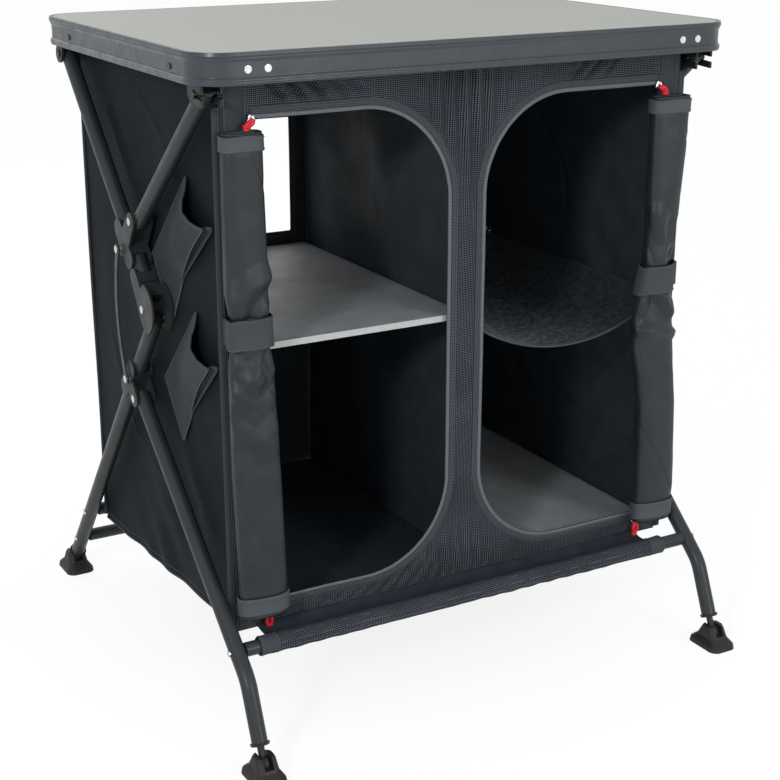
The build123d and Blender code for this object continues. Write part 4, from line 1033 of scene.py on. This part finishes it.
# %% [markdown]
# Each roll is held by three bands: its own bound hem above and below, and a wide strap in the
# middle that is sewn into the corner of the cabinet. They are closed loops, a little larger than
# the roll, with a thin raised edge.

# %% Straps
STRAP_ROUND = 96
FINE_PITCH, FINE_LENGTH = 3.6, 2.4
for name, steps, ties, _ in ROLLS:
    for k, (low, high) in enumerate(ties):
        wide = k == 1
        # From the lower edge to the upper: height, and how far the band stands off the roll
        levels = (
            (low, 0.1), (low + 0.5, 1.0), (low + 2.4, 1.3), (low + 3.2, 1.0),
            (high - 3.2, 1.0), (high - 2.4, 1.3), (high - 0.5, 1.0), (high, 0.1),
        )
        band, t = [], np.linspace(0, 2 * math.pi, STRAP_ROUND, endpoint=False)
        for z, out in levels:
            x, w = roll_shape(steps, z)
            sx, sy = section(t, w + 1.0 + 2 * out, ROLL_D + 1.0 + 2 * out)
            sway = 0.9 * np.sin(5 * t) * bell(z, (low + high) / 2, 30) if wide else 0
            wave = 0.6 * np.sin(3 * t + k) + sway
            band.append(np.stack([x + sx, ROLL_Y + sy, z + 0.02 * sx * wide + wave], 1))
        P = np.array(band)
        flat_u = np.broadcast_to(P[:, :1, 2] - (low + high) / 2, P.shape[:2])
        uv = np.stack([flat_u, np.broadcast_to(np.linspace(0, 140, STRAP_ROUND), P.shape[:2])], 2)
        strap = cloth(f"strap_{name}_{k}", P, STRAP if wide else HEM, "table", uv=uv, thick=0, wrap=True)
        pack_up(strap)
        if name == "left" and k == 0:
            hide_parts("door_straps")
        for m, z in enumerate((low + 2.4, high - 2.4)):
            x, w = roll_shape(steps, z)
            t = np.linspace(math.pi, 2 * math.pi, 60)
            sx, sy = section(t, w + 4.0, ROLL_D + 4.0)
            row = np.stack([x + sx, ROLL_Y + sy, z + 0.02 * sx * wide + 0.6 * np.sin(3 * t + k)], 1)
            pack_up(stitches(f"strap_seam_{name}_{k}_{m}", row, TOWARDS, "table",
                             pitch=FINE_PITCH, length=FINE_LENGTH))
print("straps", sum(len(ties) for _, _, ties, _ in ROLLS))

# %% [markdown]
# The wide strap's end runs from the roll back to the seam in the corner of the cabinet. It could
# be the band itself drawn longer, but it leaves the loop at a sharp angle, so it is a short bent
# ribbon of its own, laid through four spots from the seam to the roll.

# %% Roots of the wide straps
STRAP_ROOTS = ((-1, -330, 511, 543), (1, 313, 500, 532))
for sign, x, low, high in STRAP_ROOTS:
    line = np.array([(sign * 327.5, -224.5), (sign * 331.5, -229.5), (sign * 331, -238), (x, -246)], float)
    run = np.linspace(0, 3, 26)
    spots = [np.interp(run, range(4), line[:, k]) for k in range(2)]
    path = np.stack([*spots, np.full(26, (low + high) / 2)], 1)
    half = (high - low) / 2
    outline = [(-half, -0.4), (-half + 0.5, 0.5), (half - 0.5, 0.5), (half, -0.4)]
    pack_up(ribbon(f"strap_root_{sign + 1}", path, (sign, -0.2, 0), outline, STRAP, "table"))
print("strap roots", len(STRAP_ROOTS))

# %% [markdown]
# Zip pulls: a cast slider over the coil, a wire bail, and a short red cord knotted through it. The
# upper two stand by the corner of the opening; the lower two hang free below the rolls.

# %% Zip pulls
RED, tree, shader = finish("red_cord", (0.66, 0.018, 0.034), 0.5)
bump(tree, shader, noise(tree, 1500, 2), 0.0003, 0.6)
braid = spread(tree, noise(tree, 900, 2), 0.4, 0.6, 0, 1)
tree.links.new(mix(tree, braid, (0.58, 0.012, 0.026), (0.78, 0.026, 0.044)), shader.inputs["Base Color"])

# Where each slider stands, and which way its cord hangs
PULLS = ((-289, 770, -1), (-286, 158, 0.15), (290, 770, 1), (288, 160, -0.15))
# The slider's rings from back to front: depth, and share of the full size
SLIDER = ((2.4, 0.8), (1.6, 1.0), (-0.8, 1.0), (-1.8, 0.8), (-2.2, 0.3))
SHORT_FALL, LONG_FALL = 8, 21
CORD_RADIUS, KNOT_RADIUS = 2.5, 2.4
for k, (x, z, hang) in enumerate(PULLS):
    y = float(front_y(x, z)) - 3.6
    t = np.linspace(0, 2 * math.pi, 24, endpoint=False)
    rings = []
    for dy, s in SLIDER:
        sx, sz = section(t, 9.5 * s, 11.5 * s, 3)
        rings.append(np.stack([x + sx * (1 - 0.14 * np.sign(sz)), np.full(24, y + dy), z + sz], 1))
    slider = cloth(f"slider_{k}", np.array(rings), CHROME, "table", thick=0, wrap=True)
    pack_up(slider)
    arch = np.linspace(0, math.pi, 14)
    bail = np.stack([np.full(14, x), y - 1.8 - 3.0 * np.sin(arch), z + 4.6 * np.cos(arch)], 1)
    pack_up(tube(f"bail_{k}", bail, 0.9, CHROME, "table", up=(1, 0, 0)))
    drop, fall = np.linspace(0, 1, 24), SHORT_FALL if z > 500 else LONG_FALL
    bow = np.sin(math.pi * drop)
    for m, dx in enumerate((-2.6, 2.6)):
        strand = np.stack([x + dx * bow * 1.2 + hang * 8 * drop, y - 4.4 - 1.2 * bow, z - 1 - fall * drop], 1)
        pack_up(tube(f"pull_cord_{k}_{m}", strand, CORD_RADIUS, RED, "table", up=(0, 1, 0)))
    knot = np.linspace(0, 4 * math.pi, 40)
    knot_x, knot_y = x + hang * 8 + 2.4 * np.cos(knot), y - 4.6 + 1.8 * np.sin(knot)
    knot_z = z - fall + 1.0 * np.sin(knot / 2) - knot * 0.25
    loops = np.stack([knot_x, knot_y, knot_z], 1)
    pack_up(tube(f"pull_knot_{k}", loops, KNOT_RADIUS, RED, "table", up=(0, 0, 1)))
    if k == 0:
        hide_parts("zip_pulls")
print("zip pulls", len(PULLS))

# %% [markdown]
# Pockets on the left wall. Each is a mesh pouch sewn down along its back and its foot, with a
# bellows along the front edge, so it stands off the wall at its mouth. The mouth is bound with
# elastic and sags. One sheet from the back seam over the fold to the front seam makes both faces.

# %% Pockets
# In depth and height: the back seam's top and foot, then the front seam's top, knee and tip
POCKETS = (
    ("upper_pocket", (-128, 690), (-10, 574), (-204, 642), (-112, 566), (-70, 500)),
    ("lower_pocket", (-144, 528), (-34, 416), (-206, 474), (-126, 400), (-88, 346)),
)
WALL_FACE = -329.4
# U runs from the back seam at 0 to the fold at 1, then over the bellows to the front seam
BELLOWS, U_END = 0.35, 1.35
KNEE, AFTER_KNEE = 0.55, 0.45
for name, *corners in POCKETS:
    back_top, back_low, front_top, knee, tip = (np.array(p, float) for p in corners)
    U, V = np.meshgrid(np.linspace(0, U_END, 96), np.linspace(0, 1, 90))
    v = V[..., None]
    rear = back_top + (back_low - back_top) * v
    upper, lower = front_top + (knee - front_top) * v / KNEE, knee + (tip - knee) * (v - KNEE) / AFTER_KNEE
    front = np.where(v < KNEE, upper, lower)
    face = np.clip(U, 0, 1)
    arch = np.sin(math.pi * face)
    # How far it stands off the wall: the open mouth, a full belly, crumples and a gathered top edge
    stand = 12.5 * (1 - ramp(V, 0.15, 0.72))
    belly = 4.5 * arch * (1 - V) ** 0.5 * np.sin(math.pi * (0.15 + 0.85 * V)) ** 0.3
    bulge = (ramp(U, 0, 0.45) * stand + belly) * (1 - np.clip((U - 1) / BELLOWS, 0, 1))
    bulge = bulge + 1.0 * ripple(V * 150, face * 90, int(back_top[1]), 0.04, 3) * arch * (1 - V)
    bulge = bulge + 0.5 * np.sin(face * 30) * bell(V, 0, 0.07) * arch
    # The mouth sags, and the bellows bow back under the fold
    bow = 9 * (1 - V) * arch + 7 * np.sin(math.pi * ramp(U, 1, U_END)) * (1 - ramp(V, 0.3, 0.95))
    sag = -15 * (1 - V) ** 2 * arch
    flat = rear + (front - rear) * face[..., None]
    flat = flat + np.stack([bow, sag], -1)
    P = np.stack([WALL_FACE - bulge.clip(0), flat[..., 0], flat[..., 1]], 2)
    pouch = cloth(f"{name}_pouch", P, MESH_POCKET, "table", thick=0.9)
    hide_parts(name)
    wide = float(np.linalg.norm(np.diff(P, axis=1), axis=2).sum(1).mean())
    a, b, c, d = P[:-1, :-1], P[:-1, 1:], P[1:, 1:], P[1:, :-1]
    pack_up(pouch)
    fold = int(np.argmin(np.abs(U[0] - 1.0)))
    mouth, crest = P[0] + (-0.6, 0, 0.8), P[:, fold] + (-0.5, 0, 0)
    pack_up(tube(f"{name}_elastic", mouth, 2.2, ELASTIC, "table", up=(-1, 0, 0.2), flat=0.8))
    pack_up(tube(f"{name}_fold", crest, 1.1, HEM, "table", up=(-1, 0.01, 0), flat=0.7))
    for m, line in enumerate((P[-1], P[:, 0], P[:, -1])):
        cord = HEM if m == 2 else ELASTIC
        pack_up(tube(f"{name}_binding_{m}", line + (-0.3, 0, 0), 1.2, cord, "table",
                     up=(-1, 0.01, 0), flat=0.6))
        pack_up(stitches(f"{name}_seam_{m}", line + (-1.5, 0, 0), (-1, 0, 0), "table", pitch=3.4, length=2.3))

# %% [markdown]
# Below the doors the floor cloth runs forward to the front rail, where it ends in a sleeve with a
# plain cuff at each end. The flap is pulled tight, so it only ripples slightly along its seams.

# %% Flap
FLAP_BACK, FLAP_DEEP, FLAP_LONG = -225.5, 37.5, 39
xs, ts = np.linspace(-300, 290, 220), np.linspace(0, 1, 16)
X, T = np.meshgrid(xs, ts)
Z = 142 - 4 * T - 3.0 * np.sin(math.pi * T) + 1.4 * np.sin(X / 8 + 2 * T) * np.sin(math.pi * T)
points, flat_map = np.stack([X, FLAP_BACK - FLAP_DEEP * T, Z], 2), np.stack([X, T * FLAP_LONG], 2)
flap = cloth("floor_flap", points, INSIDE, "table", uv=flat_map)
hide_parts("front_floor_flap")
pack_up(flap)
print("flap", len(flap.data.polygons), "faces")

# %% [markdown]
# The sleeve is a tube of the panel's mesh with the front rail inside. It has slack, so it gathers
# into small rings and sags into a few lines along its underside. The cuffs and the three seams
# along it are stiffer and keep their shape.

# %% Sleeve and cuffs
RAIL_Y, RAIL_Z = -274.0, 136.2
SLEEVE_R, CUFF_R, SEAM_R = 10.9, 12.2, 12.5
xs, ts = np.linspace(-318, 300, 300), np.linspace(0, 2 * math.pi, 48, endpoint=False)
T, X = np.meshgrid(ts, xs)
gather = 0.5 * np.sin(X / 5 + 1.7 * np.sin(T)) * (0.5 + 0.5 * np.sin(X / 70))
gather = gather + 0.35 * ripple(X, T * 11, 8, 0.12)
R = SLEEVE_R + gather + 0.5 * np.sin(T * 9) * bell(T, 4.2, 0.9)
points = np.stack([X, RAIL_Y + R * np.cos(T), RAIL_Z + R * np.sin(T) * 1.04], 2)
flat_map = np.stack([X, T * 11.2], 2)
sleeve = cloth("rail_cloth", points, MESH_FRONT, "front_legs", uv=flat_map, wrap=True)
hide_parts("rail_sleeve")
for k, (a, b) in enumerate(((-319, -293), (276, 301))):
    x = np.array([a, a + 0.6, *np.linspace(a + 2, b - 2, 12), b - 0.6, b])
    T, X = np.meshgrid(np.linspace(0, 2 * math.pi, 48, endpoint=False), x)
    R = CUFF_R + 0.25 * np.sin(3 * T + X / 4) - 0.9 * np.maximum(bell(X, a, 0.8), bell(X, b, 0.8))
    points = np.stack([X, RAIL_Y + R * np.cos(T), RAIL_Z + R * np.sin(T)], 2)
    flat_map = np.stack([X, T * 11.2], 2)
    cloth(f"sleeve_cuff_{k}", points, STRAP, "front_legs", uv=flat_map, thick=0, wrap=True)
    t = np.linspace(0, 2 * math.pi, 50)
    for m, x in enumerate((a + 2.5, b - 2.5)):
        row = np.stack([np.full(50, x), RAIL_Y + SEAM_R * np.cos(t), RAIL_Z + SEAM_R * np.sin(t)], 1)
        stitches(f"cuff_seam_{k}_{m}", row, row - (x, RAIL_Y, RAIL_Z), "front_legs",
                 pitch=FINE_PITCH, length=FINE_LENGTH)
for k, (dy, dz) in enumerate(((-4.6, 10.2), (-10.6, 3.4), (-11.0, -3.2))):
    xx = np.linspace(-292, 275, 150)
    row = np.stack([xx, np.full(150, RAIL_Y + dy), np.full(150, RAIL_Z + dz)], 1)
    stitches(f"sleeve_seam_{k}", row, (0, dy, dz), "front_legs")
print("sleeve", len(sleeve.data.polygons), "faces")

# %% [markdown]
# The photograph was taken from the front left, a little above the table, with a long lens. The
# camera stands where the table's edges and the four feet say that it stood.

# %% Camera
YAW, PITCH = math.radians(29.552), math.radians(18.529)
FOCAL_PIXELS, PICTURE_PIXELS, SENSOR = 1583.5, 780, 36
aim = Vector((math.sin(YAW) * math.cos(PITCH), math.cos(YAW) * math.cos(PITCH), -math.sin(PITCH)))
camera = bpy.data.objects.new("camera", bpy.data.cameras.new("camera"))
bpy.context.scene.collection.objects.link(camera)
camera.location = (-1.0332, -1.8593, 1.0463)
camera.rotation_mode = "QUATERNION"
camera.rotation_quaternion = aim.to_track_quat("-Z", "Y")
camera.data.lens = FOCAL_PIXELS / PICTURE_PIXELS * SENSOR
camera.data.sensor_width = SENSOR
bpy.context.scene.camera = camera
print("lens", round(camera.data.lens, 1), "mm")

# %% [markdown]
# The studio: a wide pale floor that runs out of sight, and a white surround. To the camera both
# are as bright as white paper, while the light they throw on the cupboard stays plain. Turning
# the lamps up until the floor is white would bleach the dark cloth.


# %% Floor and surround
def seen(tree):
    """1 for the rays that make the picture's background and its reflections, 0 for the others."""
    rays = node(tree, "ShaderNodeLightPath").outputs
    mirrored = sums(tree, "MAXIMUM", rays["Is Glossy Ray"], rays["Is Transmission Ray"])
    return sums(tree, "MAXIMUM", rays["Is Camera Ray"], mirrored)


FLOOR_HALF = 60
FLOOR_GLOW, GLOW_SHARE = 1.10, 0.76
FLOOR, tree, shader = finish("studio_floor", (0.86, 0.86, 0.86), 0.9)
glow = node(tree, "ShaderNodeEmission", in_0=(1, 1, 1, 1), in_1=FLOOR_GLOW)
share = sums(tree, "MULTIPLY", seen(tree), GLOW_SHARE)
blend = node(tree, "ShaderNodeMixShader", [(0, share), (1, shader.outputs[0]), (2, glow.outputs[0])])
tree.links.new(blend.outputs[0], tree.nodes["Material Output"].inputs[0])
ends = [(a * FLOOR_HALF, b * FLOOR_HALF, 0) for a, b in ((-1, -1), (1, -1), (1, 1), (-1, 1))]
floor = bpy.data.objects.new("floor", bpy.data.meshes.new("floor"))
floor.data.from_pydata(ends, [], [(0, 1, 2, 3)])
floor.data.materials.append(FLOOR)
bpy.context.scene.collection.objects.link(floor)

WORLD_COLOR, WORLD_STRENGTH = (0.95, 0.98, 1.0, 1), 0.70
world = bpy.data.worlds.new("studio")
world.use_nodes = True
tree = world.node_tree
soft = tree.nodes["Background"]
soft.inputs[0].default_value = WORLD_COLOR
soft.inputs[1].default_value = WORLD_STRENGTH
white = node(tree, "ShaderNodeBackground", in_0=(1, 1, 1, 1), in_1=1.0)
blend = node(tree, "ShaderNodeMixShader", [(0, seen(tree)), (1, soft.outputs[0]), (2, white.outputs[0])])
tree.links.new(blend.outputs[0], tree.nodes["World Output"].inputs[0])
bpy.context.scene.world = world
print("surround strength", WORLD_STRENGTH)

# %% [markdown]
# Three soft lamps: a key at the front left, whose light falls across the shelf, a weak fill in
# front that shines along the rim, and one behind that draws a bright line along the tubes. Small
# hard lamps would throw edged shadows that the photograph doesn't have.


# %% Lamps
def lamp(name, place, target, power, size):
    """A square lamp of a size in metres, turned towards its target."""
    light = bpy.data.objects.new(name, bpy.data.lights.new(name, "AREA"))
    light.data.energy = power
    light.data.size = size
    light.location = place
    light.rotation_mode = "QUATERNION"
    light.rotation_quaternion = (Vector(target) - Vector(place)).to_track_quat("-Z", "Y")
    bpy.context.scene.collection.objects.link(light)
    print(name, power, "W")


lamp("key", (-2.7, -2.15, 1.85), (0, 0, 0.45), 46, 0.5)
lamp("fill", (0.9, -3.1, 1.25), (0, 0, 0.5), 30, 0.8)
lamp("back_light", (-0.4, 3.0, 2.4), (0, 0, 0.6), 18, 2.0)
bpy.context.scene.view_settings.view_transform = "Standard"
